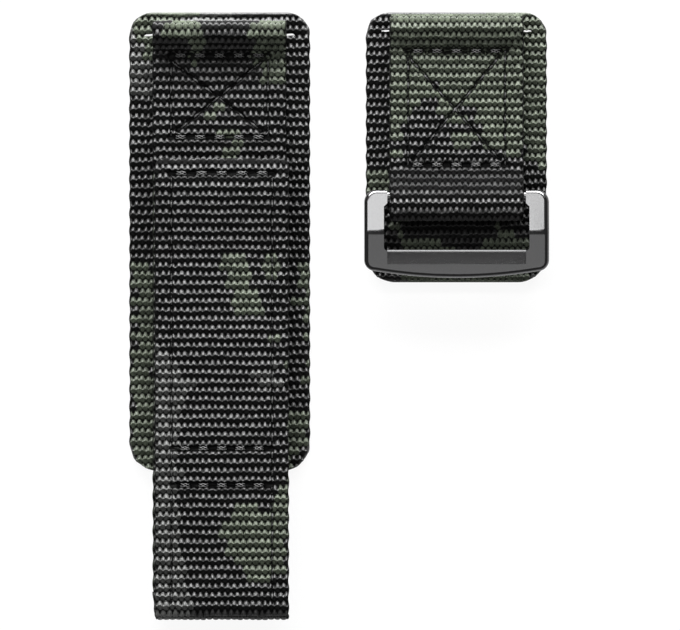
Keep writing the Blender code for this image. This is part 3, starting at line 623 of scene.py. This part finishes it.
def box_route(box):
    """Corners of a box seam, sewn in one go: round the box, one diagonal, up a side, the other."""
    left, foot, right, top = box
    near_x, near_foot, near_top = right - BOX_INSET, foot + BOX_INSET, top - BOX_INSET
    return [(left, top), (right, top), (right, foot), (left, foot), (left, near_top), (near_x, near_foot),
            (near_x, near_top), (left + BOX_INSET, near_foot)]


def box_press(line, box, front, back):
    """Grooves of a box seam in the front face of a webbing and in its tail's back."""
    route = box_route(box)
    level = (route[:2], route[2:4])
    upright = (route[1:3], (route[3], route[0]))
    cross = (route[4:6], route[6:8])
    holes = needle_holes(route[:2]) + needle_holes(route[2:4])

    def press(along, across, side):
        deep = sewn_press(across, line.y_at(along), (level, upright, cross), holes)
        sewn = (along > front[0]) & (along < front[1]) | (along < back)
        return np.where((side < 0) & sewn, deep, 0)
    return press


def row_at(line, y, after, before, rib):
    """The shift of a band's rows that puts one of their crests at a given y."""
    return -math.fmod(line.mark_of(y, after, before), rib)


INNER_STEP = 0.00132
web_edge = WEB_WIDTH / 2 - SELVEDGE
web_fine = np.concatenate([[-web_edge], np.arange(-63, 64) * FLOAT_WIDTH / 6, [web_edge]])
web_coarse = spread([-web_edge, web_edge], [INNER_STEP])
tail_mark = long_line.mark_of(LONG_SHOWS[0], 0, 0.018)
front_mark = long_line.mark_of(LONG_SHOWS[1], crest_mark, crest_mark + 0.04)
long_look = {**WOVEN, "rib": LONG_RIB, "salt": 21, "camo": 1169, "green": 0.34, "grey": 0.22,
             "green_lean": (0.04, -0.30, 0.030), "green_edge": front_mark,
             "start": row_at(long_line, LONG_ROW_Y, crest_mark - 0.002, crest_mark + 0.02, LONG_RIB)}
marks = ribbed((0, tail_mark, front_mark, fold_start),
               (COARSE_RIB_SHARES, FINE_RIB_SHARES, COARSE_RIB_SHARES), long_look)
long_webbing = woven_band("long_webbing_weave", long_line, marks, (web_coarse, web_fine), WEB_WIDTH,
                          WEB_THICK, LONG_X, long_look, ends=(True, False),
                          press=box_press(long_line, LONG_BOX, (crest_mark, front_mark), tail_mark))
web_weave = woven_material("webbing_weave")
long_webbing.data.materials.append(web_weave)
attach(long_webbing, "long_half")
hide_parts("long_webbing", "run_webbing")

# --- Strap fold: the same webbing where it turns back at the lower end. It bends when the tongue
# opens, so it hangs between the run and the tongue.
TONGUE_ASKEW = 0.0004
TONGUE_ROW_Y = 0.02520
tongue_look = {**WOVEN, "lean": -1, "salt": 31, "camo": 131, "green": 0.24, "grey": 0.42,
               "green_lean": (0.16, 0.0, 0.0), "grey_lean": (-0.08, -0.14, 0.13),
               "start": row_at(long_line, TONGUE_ROW_Y, fold_end, hem_mark, RIB)}
marks = ribbed((fold_start, fold_end), (FINE_RIB_SHARES,), tongue_look)
askew = LONG_X + TONGUE_ASKEW * (1 - np.cos((marks - fold_start) / FOLD_RADIUS)) / 2
strap_fold = woven_band("strap_fold_weave", long_line, marks, (web_fine, web_coarse), WEB_WIDTH,
                        WEB_THICK, askew[:, None], tongue_look, ends=(False, False))
strap_fold.data.materials.append(web_weave)
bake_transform(strap_fold)
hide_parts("strap_fold")

# --- Tongue: the webbing's free end, which lies back over the run. Its edge seams, hem and two
# cross seams pull its face into grooves, and its tip is a turned hem with soft corners.
TONGUE_SEAM_X = 0.00815
EDGE_SEAM_END_Y = -0.0465
HEM_SEAM_Y = 0.0231
HOOK_SEAM_Y = -0.02135
LOOP_SEAM_Y = -0.0273
CROSS_SEAM_X = 0.00744
TONGUE_CORNER = 0.0014
TONGUE_X = LONG_X + TONGUE_ASKEW
tongue_edges = [(-TONGUE_SEAM_X, EDGE_SEAM_END_Y), (-TONGUE_SEAM_X, HEM_SEAM_Y),
                (TONGUE_SEAM_X, HEM_SEAM_Y), (TONGUE_SEAM_X, EDGE_SEAM_END_Y)]
hook_seam = [(-CROSS_SEAM_X, HOOK_SEAM_Y), (CROSS_SEAM_X, HOOK_SEAM_Y)]
loop_seam = [(-CROSS_SEAM_X, LOOP_SEAM_Y), (CROSS_SEAM_X, LOOP_SEAM_Y)]


def tongue_press(along, across, side):
    """Grooves of the tongue's edge seams, hem seam and two cross seams."""
    level = (tongue_edges[1:3], hook_seam, loop_seam)
    holes = [hole for seam in level for hole in needle_holes(seam)]
    deep = sewn_press(across, long_line.y_at(along), (level, (tongue_edges[:2], tongue_edges[2:])), holes)
    return np.where((side > 0) & (along < hem_mark), deep, 0)


marks = ribbed((fold_end, long_line.length), (FINE_RIB_SHARES,), tongue_look)
tongue = woven_band("tongue_weave", long_line, marks, (web_fine, web_coarse), WEB_WIDTH, WEB_THICK,
                    TONGUE_X, tongue_look, ends=(False, True), press=tongue_press,
                    tip=(HEM_Y + HEM_RADIUS, TONGUE_CORNER))
tongue.data.materials.append(web_weave)
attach(tongue, "tongue")
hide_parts("tongue_webbing")

# --- Short pad: the same wide band behind the short half, 43.7 mm long, cut and melted with a hot
# knife like the long one. It lies lower under the buckle than under the sewn webbing.
SHORT_X = 0.01905
SHORT_RIB = 0.00138
SHORT_FLOAT = 0.00095
SHORT_SLIT_DROP = 0.0030
SHORT_PAD_KNEE = 0.02335
SHORT_PAD_LAND = 0.00735
SHORT_PAD_FOOT = 0.0055
SHORT_WOVEN = {**WOVEN, "rib": SHORT_RIB, "float": SHORT_FLOAT}
short_pad = pad("short_pad_weave", SHORT_X, SHORT_PAD_KNEE, SHORT_PAD_LAND, SHORT_PAD_FOOT,
                SHORT_SLIT_DROP, {**SHORT_WOVEN, "salt": 41, "camo": 7554, "green": 0.48, "grey": 0.10,
                                  "green_lean": (0.10, 0.05, 0.022)}, PAD_STEP)
short_pad.data.materials.append(woven_material("short_pad_weave"))
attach(short_pad, "short_half")
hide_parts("short_pad")

# --- Short webbing: one webbing that makes the tail, the lug loop, the front and the roll that
# holds the buckle's bar, and comes back inside to the box seam.
SHORT_TAIL_END = 0.0236
SHORT_SLIT_Y = 0.0462
SHORT_LOOP_Y = 0.0470
SHORT_LOOP_ROUND = 0.0014
STACK_Z = 0.00495
ROLL_TOP = (0.01845, 0.0066625)
ROLL_MIDDLE = (0.01755, 0.0048866)
ROLL_RADIUS = 0.001776
ROLL_BACK = 0.0032
INSIDE_END_Y = 0.0438
SHORT_RAMP_Y = 0.02435
SHORT_ROW_Y = 0.01830
SHORT_SHOWS_Y = 0.0435
SHORT_BOX = (-0.00785, 0.0245, 0.00785, 0.0429)
SHORT_TAIL = 0.0215
short_line = Line(
    lug_loop(SHORT_TAIL_END, SHORT_SLIT_Y, SHORT_LOOP_Y, SHORT_LOOP_ROUND, STACK_Z)
    + ease((SHORT_RAMP_Y, STACK_Z), ROLL_TOP)
    + arc(ROLL_MIDDLE, ROLL_RADIUS, 90, 270, 48)
    + [(SHORT_PAD_KNEE, FRONT_Z), (INSIDE_END_Y, FRONT_Z)])
short_crest = short_line.mark_of(HIGHEST, 0.022, 0.036)
short_roll = short_line.mark_of(LOWEST, short_crest, short_crest + 0.04)
tail_mark = short_line.mark_of(SHORT_SHOWS_Y, 0, SHORT_TAIL)
short_look = {**SHORT_WOVEN, "salt": 51, "camo": 191, "green": 0.52, "grey": 0.06,
              "green_lean": (-0.10, -0.60, 0.045),
              "start": row_at(short_line, SHORT_ROW_Y, short_crest, short_roll, SHORT_RIB)}
marks = ribbed((0, tail_mark, short_roll + ROLL_BACK, short_line.length),
               (COARSE_RIB_SHARES, FINE_RIB_SHARES, COARSE_RIB_SHARES), short_look)
short_fine = np.concatenate([[-web_edge], np.arange(-66, 67) * SHORT_FLOAT / 6, [web_edge]])
short_webbing = woven_band("short_webbing_weave", short_line, marks, (web_coarse, short_fine), WEB_WIDTH,
                           WEB_THICK, SHORT_X, short_look,
                           press=box_press(short_line, SHORT_BOX, (short_crest, short_roll), tail_mark))
short_webbing.data.materials.append(web_weave)
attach(short_webbing, "short_half")
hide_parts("short_webbing")

# --- Sewing threads: three plies twisted together. Each stitch lies on the webbing and dives into
# the needle holes at its ends. Box seams cross in the middle, and a bobbin thread lies behind.
PLY_RADIUS = 0.000068
PLY_REACH = 0.000145
LEVEL_DIVE = 0.00115
OTHER_DIVE = 0.00036
ROW_RIDE = 0.00028
LAP_RISE = 0.00024
LAP_REACH = 0.0009
BOX_SINK = (0.00020, 0.00032, 0.00038)
BOBBIN_SINK = (0.00024, 0.00024, 0.00024)
TONGUE_SINK = (0.00020, 0.00032, 0)
LONG_TAIL = 0.0165
UNDER_TOP_Y = -0.0254


def mottled(name, dark, light, scale, roughness):
    """A finish whose tone drifts between a dark and a light grey."""
    material, tree, shader = new_material(name)
    spot = node(tree, "ShaderNodeTexCoord", {}).outputs["Object"]
    noise = node(tree, "ShaderNodeTexNoise", {"Vector": spot, "Scale": scale, "Detail": 2.0})
    tones = mixed(tree, noise.outputs[0], (dark, dark, dark, 1), (light, light, light, 1))
    fill(tree, shader, {"Base Color": tones, "Roughness": roughness})
    return material


thread_look = mottled("sewing_thread", 0.035, 0.15, 6000.0, 0.48)
thread_look.node_tree.nodes["Principled BSDF"].inputs["Sheen Weight"].default_value = 0.15


def tubes(name, paths, radii, sides, material):
    """Round tubes along lists of points, with closed ends, as one mesh."""
    points, faces = [], []
    turns = np.linspace(0, 2 * math.pi, sides, endpoint=False)
    for path, radius in zip(paths, radii):
        path = np.asarray(path)
        run = np.gradient(path, axis=0)
        run /= np.linalg.norm(run, axis=1)[:, None]
        aside = np.cross(path[-1] - path[0], (0.0, 0.0, 1.0))
        up = np.cross(aside / np.linalg.norm(aside), run)
        up /= np.linalg.norm(up, axis=1)[:, None]
        aside = np.cross(run, up)
        base = len(points)
        round_it = up[:, None] * np.sin(turns)[:, None] + aside[:, None] * np.cos(turns)[:, None]
        points += (path[:, None] + radius * round_it).reshape(-1, 3).tolist()
        index = base + np.arange(len(path) * sides).reshape(len(path), sides)
        turned = np.roll(index, -1, 1)
        faces += np.stack([index[:-1], turned[:-1], turned[1:], index[1:]], -1).reshape(-1, 4).tolist()
        faces += [index[0][::-1].tolist(), index[-1].tolist()]
    mesh = bpy.data.meshes.new(name)
    mesh.from_pydata(points, [], faces)
    mesh.shade_smooth()
    mesh.materials.append(material)
    return placed(name, mesh)


def sewing(name, corners, line, stretch, side, centre_x, sink, body, look, lap=None):
    """A needle thread along straight runs on one face of a band, as a tube for each ply.

    sink gives how far the thread lies below the face on level, upright and slanted runs, and lap the
    crossing where the stitches after a given corner pass over the earlier ones.
    """
    paths, radii = [], []
    share = np.linspace(0, 1, 19)
    dive = np.clip((np.abs(2 * share - 1) - 0.34) / 0.28, 0, 1) ** 1.2
    for leg, ((x0, y0), (x1, y1)) in enumerate(zip(corners, corners[1:])):
        run = math.dist((x0, y0), (x1, y1))
        count = max(1, round(run / STITCH_PITCH))
        low = sink[0] if abs(y1 - y0) < 0.1 * run else sink[1] if abs(x1 - x0) < 0.1 * run else sink[2]
        deep = low == sink[0]
        size, loose, turns = (0.95, 1.75, 1.3) if deep else (0.58, 1.0, 2.0)
        aim = np.array([(x1 - x0) / run, (y1 - y0) / run])
        for stitch in range(count):
            place = (stitch + share) / count
            across = x0 + (x1 - x0) * place
            y = y0 + (y1 - y0) * place
            mark = line.mark_of(y, *stretch)
            height = WEB_THICK / 2 - low - (LEVEL_DIVE if deep else OTHER_DIVE) * dive
            if not deep:
                height += ROW_RIDE * (np.cos(2 * math.pi * (mark + look["start"]) / look["rib"]) - 1)
            if lap and leg >= lap[2]:
                gap = np.hypot(across - lap[0], y - lap[1])
                height += LAP_RISE * np.exp(-(gap / LAP_REACH) ** 2)
            line_y, line_z, normal_y, normal_z = line.at(mark)
            for ply in range(3):
                turn = 2 * math.pi * (turns * share + 0.37 * stitch + ply / 3)
                swing = size * loose * PLY_REACH * np.cos(turn)
                rise = height + size * PLY_REACH * np.sin(turn)
                paths.append(np.stack([across - aim[1] * swing + centre_x,
                                       line_y + aim[0] * swing + side * normal_y * rise,
                                       line_z + side * normal_z * rise], -1))
                radii.append(size * PLY_RADIUS)
    obj = tubes(name + "_plies", paths, radii, 6, thread_look)
    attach(obj, body)
    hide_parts(name)


def box_sewing(kind, box, line, front, back, centre_x, body, look):
    """Both threads of a box seam: the needle's on the front and the bobbin's behind the tail."""
    left, foot, right, top = box
    lap = ((left + right) / 2, (top + foot) / 2, 6)
    sewing(kind + "_box_thread", box_route(box), line, front, -1, centre_x, BOX_SINK, body, look, lap)
    sewing(kind + "_box_bobbin", box_route(box), line, back, -1, centre_x, BOBBIN_SINK, body, look)


box_sewing("long", LONG_BOX, long_line, (crest_mark, front_mark), (0, LONG_TAIL), LONG_X, "long_half",
           long_look)
box_sewing("short", SHORT_BOX, short_line, (short_crest, short_roll), (0, SHORT_TAIL), SHORT_X, "short_half",
           short_look)
tongue_top = (fold_end, hem_mark - 0.0004)
for name, seam in (("tongue_edge_thread", tongue_edges), ("hook_end_thread", hook_seam),
                   ("loop_end_thread", loop_seam)):
    sewing(name, seam, long_line, tongue_top, 1, TONGUE_X, TONGUE_SINK, "tongue", tongue_look)
run_back = (front_mark, fold_start + 0.0002)
for name, seam_x in (("run_thread_left", -TONGUE_SEAM_X), ("run_thread_right", TONGUE_SEAM_X)):
    sewing(name, [(seam_x, UNDER_TOP_Y), (seam_x, EDGE_SEAM_END_Y)], long_line, run_back, -1, LONG_X,
           TONGUE_SINK, "long_half", long_look)

# --- Hook and loop tapes: 19.8 mm tapes sewn inside the closure. The loop tapes carry a napped
# pile on the run, round the fold and under the tongue, and the hook tape has rows of small hooks.
TAPE_WIDTH = 0.0198
LOOP_TAPE_THICK = 0.0009
HOOK_TAPE_THICK = 0.0008
HOOK_BACK_THICK = 0.00036
RUN_TAPE_RISE = 0.0012
TONGUE_TAPE_RISE = 0.00225
HOOK_TAPE_RISE = 0.0023
TAPE_TOP_Y = 0.02235
HOOK_TAPE_TOP_Y = 0.02085
HOOK_TAPE_END_Y = -0.02185
LOOP_TAPE_TOP_Y = -0.0268
LOOP_TAPE_END_Y = RUN_END_Y + 0.0002
PILE_STEP = 0.00024
PILE_CLUMP = 0.00034
PILE_DEPTH = 0.00030
PILE_DRIFT = 0.0023
TAPE_BLACK = (0.020, 0.020, 0.021, 1)
tape_edge = TAPE_WIDTH / 2 - SELVEDGE


def pile(along, across, side, clump, width, lean, salt):
    """Height of a napped pile from 0 to 1, and the clump that each point belongs to."""
    first = drift(along / clump, across / clump, salt)
    second = drift(along / (clump * 0.55) + 5.2, across / (clump * 0.55) + 3.3, salt + 1)
    broad = drift(along / PILE_DRIFT, across / PILE_DRIFT, salt + 2)
    rise = np.clip(0.46 * first + 0.34 * second + 0.20 * broad, 0, 1)
    return rise, np.floor(along / clump), np.floor(across / clump), np.ones_like(along)


def on_run(y, rise):
    """A point a rise above the run's middle plane."""
    share = min(max((LONG_PAD_KNEE - y) / (LONG_PAD_KNEE - LONG_PAD_LAND), 0), 1)
    return (y, FRONT_Z + (RUN_Z - FRONT_Z) * share + rise)


pile_look = woven_material("loop_pile", TAPE_BLACK, 0.25, 0.3)


def tape(name, points, napped, salt, body=None):
    """A strip of loop tape with its pile on the plus or minus side. It has cut ends if it rides."""
    line = Line(points)
    fine = spread([-tape_edge, tape_edge], [PILE_STEP])
    coarse = spread([-tape_edge, tape_edge], [5 * PILE_STEP])
    look = {**WOVEN, "rib": PILE_CLUMP, "float": PILE_CLUMP, "depth": PILE_DEPTH, "scallop": 0.0,
            "salt": salt, "camo": salt, "stray": 0.0}
    obj = woven_band(name, line, spread([0, line.length], [PILE_STEP]),
                     (fine, coarse) if napped > 0 else (coarse, fine), TAPE_WIDTH, LOOP_TAPE_THICK,
                     LONG_X, look, surface=pile, ends=(body is not None, body is not None))
    obj.data.materials.append(pile_look)
    if body:
        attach(obj, body)
    return obj


run_tape = tape("run_pile", [on_run(TAPE_TOP_Y, RUN_TAPE_RISE), on_run(LONG_PAD_LAND, RUN_TAPE_RISE),
                             on_run(LOOP_TAPE_END_Y, RUN_TAPE_RISE)], -1, 61, "long_half")
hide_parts("run_loop_tape")
tongue_tape = tape("tongue_pile", [on_run(LOOP_TAPE_TOP_Y, TONGUE_TAPE_RISE),
                                   on_run(LOOP_TAPE_END_Y, TONGUE_TAPE_RISE)], 1, 62, "tongue")
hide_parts("tongue_loop_tape")
fold_tape = tape("fold_pile", arc((RUN_END_Y, RUN_Z + FOLD_RADIUS), FOLD_RADIUS - RUN_TAPE_RISE,
                                  -90, -270, 48), -1, 63)
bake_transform(fold_tape)
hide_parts("fold_loop_tape")

hook_back_rise = HOOK_TAPE_RISE + HOOK_TAPE_THICK / 2 - HOOK_BACK_THICK / 2
hook_line = Line([on_run(HOOK_TAPE_TOP_Y, hook_back_rise), on_run(LONG_PAD_LAND, hook_back_rise),
                  on_run(HOOK_TAPE_END_Y, hook_back_rise)])
hook_columns = spread([-tape_edge, tape_edge], [0.0004])
hook_back = woven_band("hook_tape_back", hook_line, spread([0, hook_line.length], [0.0004]),
                       (hook_columns, hook_columns), TAPE_WIDTH, HOOK_BACK_THICK, LONG_X,
                       {**WOVEN, "rib": 0.0009, "float": 0.0008, "depth": 0.00008, "scallop": 0.0,
                        "salt": 64, "camo": 64, "stray": 0.0})
hook_back.data.materials.append(woven_material("hook_tape", TAPE_BLACK, 0.45, 0.4))
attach(hook_back, "tongue")
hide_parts("tongue_hook_tape")
HOOK_ROWS = 31
HOOKS_IN_ROW = 19
HOOK_MARGIN = 0.0009
HOOK_ROW = 0.0013
HOOK_APART = 0.00095
HOOK_RADIUS = 0.00007
HOOK_SIZE = 0.001
HOOK_SHARES = ((0, 0), (0, -0.22), (0.05, -0.36), (0.17, -0.44), (0.30, -0.38), (0.34, -0.25))
hooks = []
for row in range(HOOK_ROWS):
    hook_y = HOOK_TAPE_TOP_Y - HOOK_MARGIN - row * HOOK_ROW
    root_z = on_run(hook_y, HOOK_TAPE_RISE + HOOK_TAPE_THICK / 2 - HOOK_BACK_THICK)[1] + 0.00006
    for number in range(HOOKS_IN_ROW):
        hook_x = LONG_X - TAPE_WIDTH / 2 + HOOK_MARGIN + (number + 0.5 * (row % 2)) * HOOK_APART
        lean = chance(np.array([row]), np.array([number]), 66)[0] * 2 * math.pi
        aim = HOOK_SIZE * (1 if (row + number) % 2 else -1) * (0.8 + 0.2 * math.cos(lean))
        skew = 0.2 * HOOK_SIZE * math.sin(lean)
        hooks.append([(hook_x + aim * a, hook_y + skew * a, root_z + HOOK_SIZE * b) for a, b in HOOK_SHARES])
hook_plastic = mottled("hook_plastic", 0.012, 0.040, 2500.0, 0.35)
hook_rows = tubes("hook_rows", hooks, [HOOK_RADIUS] * len(hooks), 4, hook_plastic)
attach(hook_rows, "tongue")

# --- Buckle: a cast frame with a round upper bar, arms cranked along a crease, a lower bar that
# bows down, and a sloped recess behind its sill, in a satin powder coat.
BUCKLE_HALF = 0.01495
BUCKLE_THICK = 0.0019
BUCKLE_TOP_REACH = 0.00115
BUCKLE_CREASE_REACH = 0.0059
BUCKLE_FOOT = -0.0133
BUCKLE_TOP_CORNER = 0.0021
BUCKLE_LOW_CORNER = 0.0018
BUCKLE_BOW = 0.0011
BUCKLE_ARM = 0.0032
BAR_RADIUS = 0.0009
BAR_BOSS = 0.00055
BAR_BOSS_REACH = 0.0013
BAR_ROOT = 0.0004
SILL_Y = -0.0088
WINDOW_CORNER = 0.0006
WINDOW_OPEN_Y = 0.003
RECESS_REACH = 0.0022
RECESS_DEPTH = 0.0012
CRANK_RADIUS = 0.0024
CRANK = math.radians(18)
CRANK_CUTS = 9
TILT = math.radians(12)
OUTER_ROUND = 0.00085
SILL_LIP = 0.00048
SILL_SLANT = math.radians(18)
INNER_ROUND = 0.00022
SHARP_TURN = math.radians(50)
BAR_PLACE = (0.01905, 0.01935, 0.0049625)


def solid(name, shape):
    """A mesh object made from a bmesh."""
    mesh = bpy.data.meshes.new(name)
    shape.to_mesh(mesh)
    shape.free()
    return placed(name, mesh)


def prism(name, outline, reach, turned=False):
    """A solid that stands out to both sides of an outline in x and y or, turned, in y and z."""
    shape = bmesh.new()
    ends = [[shape.verts.new((level, a, b) if turned else (a, b, level)) for a, b in outline]
            for level in (-reach, reach)]
    shape.faces.new(ends[0])
    shape.faces.new(ends[1])
    for k in range(len(outline)):
        after = (k + 1) % len(outline)
        shape.faces.new((ends[0][k], ends[0][after], ends[1][after], ends[1][k]))
    bmesh.ops.recalc_face_normals(shape, faces=shape.faces)
    return solid(name, shape)


def mirrored(right_half):
    """A whole outline from its right half, which starts and ends on the middle line."""
    return right_half + [(-x, y) for x, y in reversed(right_half) if abs(x) > 1e-7]


def combine(obj, other, operation):
    """Apply an exact Boolean of one solid with another, which is used up."""
    step = obj.modifiers.new(operation.lower(), "BOOLEAN")
    step.operation = operation
    step.solver = "EXACT"
    step.object = other
    bpy.context.view_layer.update()
    made = bpy.data.meshes.new_from_object(obj.evaluated_get(bpy.context.evaluated_depsgraph_get()))
    obj.modifiers.clear()
    obj.data = made
    bpy.data.objects.remove(other, do_unlink=True)


def crank(y, z):
    """Where a point of the flat frame goes when the frame is bent along its crease."""
    start = -BUCKLE_CREASE_REACH + CRANK_RADIUS * CRANK / 2
    past = start - y
    if past <= 0:
        return (y, z)
    turn = min(past / CRANK_RADIUS, CRANK)
    rest = past - turn * CRANK_RADIUS
    reach = CRANK_RADIUS + z
    return (start - reach * math.sin(turn) - rest * math.cos(turn),
            -CRANK_RADIUS + reach * math.cos(turn) - rest * math.sin(turn))


def sharp_edges(shape):
    """The edges of a shape at which its faces turn sharply."""
    return [e for e in shape.edges if len(e.link_faces) == 2 and e.calc_face_angle() > SHARP_TURN]


def on_rim(edge):
    """Whether an edge runs along the top or bottom of the frame's outer outline."""
    return all(abs(v.co.x) > BUCKLE_HALF - 0.0022 or v.co.y < BUCKLE_FOOT + 0.0012
               or v.co.y > BUCKLE_TOP_REACH - 0.0001 for v in edge.verts)


inner = BUCKLE_HALF - BUCKLE_LOW_CORNER
edge = [(0.0, BUCKLE_TOP_REACH)]
edge += arc((BUCKLE_HALF - BUCKLE_TOP_CORNER, BUCKLE_TOP_REACH - BUCKLE_TOP_CORNER), BUCKLE_TOP_CORNER,
            90, 0, 12)
edge += arc((inner, BUCKLE_FOOT + BUCKLE_BOW + BUCKLE_LOW_CORNER), BUCKLE_LOW_CORNER, 0, -90, 12)
edge += [(inner * (1 - k / 16), BUCKLE_FOOT + BUCKLE_BOW * (1 - k / 16) ** 2) for k in range(1, 17)]
buckle = prism("buckle_body", mirrored(edge), BUCKLE_THICK / 2)
wide = BUCKLE_HALF - BUCKLE_ARM
narrow = wide - BAR_BOSS
opening = [(0.0, WINDOW_OPEN_Y), (narrow, WINDOW_OPEN_Y), (narrow, -BAR_BOSS_REACH),
           (wide, -BAR_BOSS_REACH - BAR_BOSS)]
opening += arc((wide - WINDOW_CORNER, SILL_Y + WINDOW_CORNER), WINDOW_CORNER, 0, -90, 8)
opening += [(0.0, SILL_Y)]
combine(buckle, prism("window", mirrored(opening), BUCKLE_THICK), "DIFFERENCE")
bar_shape = bmesh.new()
bmesh.ops.create_cone(bar_shape, cap_ends=True, segments=40, radius1=BAR_RADIUS, radius2=BAR_RADIUS,
                      depth=2 * (narrow + BAR_ROOT))
for vert in bar_shape.verts:
    vert.co = (vert.co.z, vert.co.x, vert.co.y)
combine(buckle, solid("bar", bar_shape), "UNION")
top = BUCKLE_THICK / 2
lip_z = top - RECESS_DEPTH * (RECESS_REACH - SILL_LIP) / RECESS_REACH
sill_z = lip_z - 2 * SILL_LIP * math.tan(SILL_SLANT)
profile = [(SILL_Y - RECESS_REACH, top), (SILL_Y - SILL_LIP, lip_z), (SILL_Y + SILL_LIP, sill_z),
           (SILL_Y + SILL_LIP, 2 * top), (SILL_Y - RECESS_REACH, 2 * top)]
combine(buckle, prism("recess", profile, narrow, turned=True), "DIFFERENCE")
shape = bmesh.new()
shape.from_mesh(buckle.data)
bmesh.ops.dissolve_limit(shape, angle_limit=math.radians(1), verts=shape.verts, edges=shape.edges)
bmesh.ops.bevel(shape, geom=[e for e in sharp_edges(shape) if on_rim(e)], offset=OUTER_ROUND, segments=6,
                profile=0.5, affect="EDGES", clamp_overlap=False)
bmesh.ops.bevel(shape, geom=sharp_edges(shape), offset=INNER_ROUND, segments=4, profile=0.5, affect="EDGES",
                clamp_overlap=True)
for share in np.linspace(1, -1, CRANK_CUTS):
    cut_y = -BUCKLE_CREASE_REACH + share * CRANK_RADIUS * CRANK / 2
    everything = shape.verts[:] + shape.edges[:] + shape.faces[:]
    bmesh.ops.bisect_plane(shape, geom=everything, plane_co=(0.0, cut_y, 0.0), plane_no=(0.0, 1.0, 0.0))
for vert in shape.verts:
    y, z = crank(vert.co.y, vert.co.z)
    vert.co = (vert.co.x + BAR_PLACE[0],
               BAR_PLACE[1] + y * math.cos(TILT) + z * math.sin(TILT),
               BAR_PLACE[2] - y * math.sin(TILT) + z * math.cos(TILT))
shape.to_mesh(buckle.data)
shape.free()
weighting = buckle.modifiers.new("weighting", "WEIGHTED_NORMAL")
weighting.keep_sharp = True
buckle.data.shade_smooth()
buckle.data.set_sharp_from_angle(angle=math.radians(25))
coat, tree, shader = new_material("buckle_black")
spot = node(tree, "ShaderNodeTexCoord", {}).outputs["Object"]
grain = node(tree, "ShaderNodeTexNoise", {"Vector": spot, "Scale": 9000.0, "Detail": 3.0}).outputs[0]
bump = node(tree, "ShaderNodeBump", {"Strength": 0.30, "Distance": 0.00001, "Height": grain})
fill(tree, shader, {"Base Color": (0.105, 0.105, 0.106, 1), "Metallic": 1.0,
                    "Roughness": ranged(tree, grain, 0.3, 0.7, 0.13, 0.20), "Normal": bump.outputs[0]})
buckle.data.materials.clear()
buckle.data.materials.append(coat)
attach(buckle, "buckle")
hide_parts("buckle_frame")

# --- Camera, lights and floor: the strap lies on its back on a white table and is seen from
# straight above. A softbox stands towards the lug loops, with a low light and a horizon light
# behind it, and a dim card overhead is what the buckle's lower face mirrors.
IMAGE_WIDTH_SPAN = 680 / 6180
CAMERA_HEIGHT = 1.5
STRAP_LEVEL = 0.004
SENSOR_WIDTH = 36
camera_data = bpy.data.cameras.new("camera")
camera = placed("camera", camera_data)
camera.location = (0.0002, 0.0002, CAMERA_HEIGHT)
camera_data.sensor_width = SENSOR_WIDTH
camera_data.lens = SENSOR_WIDTH * (CAMERA_HEIGHT - STRAP_LEVEL) / IMAGE_WIDTH_SPAN
camera_data.clip_start = 0.05
camera_data.clip_end = 20
bpy.context.scene.camera = camera
bpy.context.scene.view_settings.view_transform = "Standard"


def lamp(name, place, size, power):
    """A soft rectangular lamp that faces the strap and that the camera doesn't see."""
    data = bpy.data.lights.new(name, "AREA")
    data.shape = "RECTANGLE"
    data.size, data.size_y = size
    data.energy = power
    obj = placed(name, data)
    obj.location = place
    obj.rotation_euler = Vector((0, -place[1], -place[2])).to_track_quat("-Z", "Y").to_euler()
    obj.visible_camera = False


lamp("softbox", (-0.20, 0.238, 0.515), (0.54, 0.15), 1.66)
lamp("low_light", (0.0, 0.69, 0.28), (1.0, 0.31), 23.5)
lamp("horizon", (0.0, 0.85, 0.07), (1.2, 0.12), 9.0)
lamp("card", (0.0, -0.24, 0.70), (0.60, 0.30), 0.60)

world = bpy.data.worlds.new("studio")
bpy.context.scene.world = world
world.use_nodes = True
tree = world.node_tree
spot = node(tree, "ShaderNodeTexCoord", {}).outputs["Generated"]
height = node(tree, "ShaderNodeSeparateXYZ", {0: spot}).outputs["Z"]
ramp = node(tree, "ShaderNodeValToRGB", {0: height})
stops = ramp.color_ramp.elements
for place, grey in ((0.02, 0.30), (0.16, 0.14), (0.90, 0.14)):
    stops.new(place).color = (grey, grey, grey, 1)
stops.remove(stops[0])
stops.remove(stops[-1])
fill(tree, tree.nodes["Background"], {"Color": ramp.outputs[0]})

floor_shape = bmesh.new()
bmesh.ops.create_grid(floor_shape, x_segments=1, y_segments=1, size=3.0)
floor = solid("floor", floor_shape)
paper, tree, shader = new_material("white_paper")
fill(tree, shader, {"Base Color": (0.90, 0.90, 0.90, 1), "Roughness": 0.9, "Specular IOR Level": 0.0})
glow = node(tree, "ShaderNodeEmission", {"Color": (1, 1, 1, 1), "Strength": 1.0})
rays = node(tree, "ShaderNodeLightPath", {}).outputs
seen = maths(tree, "MAXIMUM", rays["Is Camera Ray"], rays["Is Glossy Ray"])
seen = maths(tree, "MAXIMUM", seen, rays["Is Transmission Ray"])
mix = node(tree, "ShaderNodeMixShader", {0: maths(tree, "MULTIPLY", seen, 0.92), 1: shader.outputs[0],
                                         2: glow.outputs[0]})
fill(tree, tree.nodes["Material Output"], {"Surface": mix.outputs[0]})
floor.data.materials.append(paper)

bpy.context.view_layer.update()
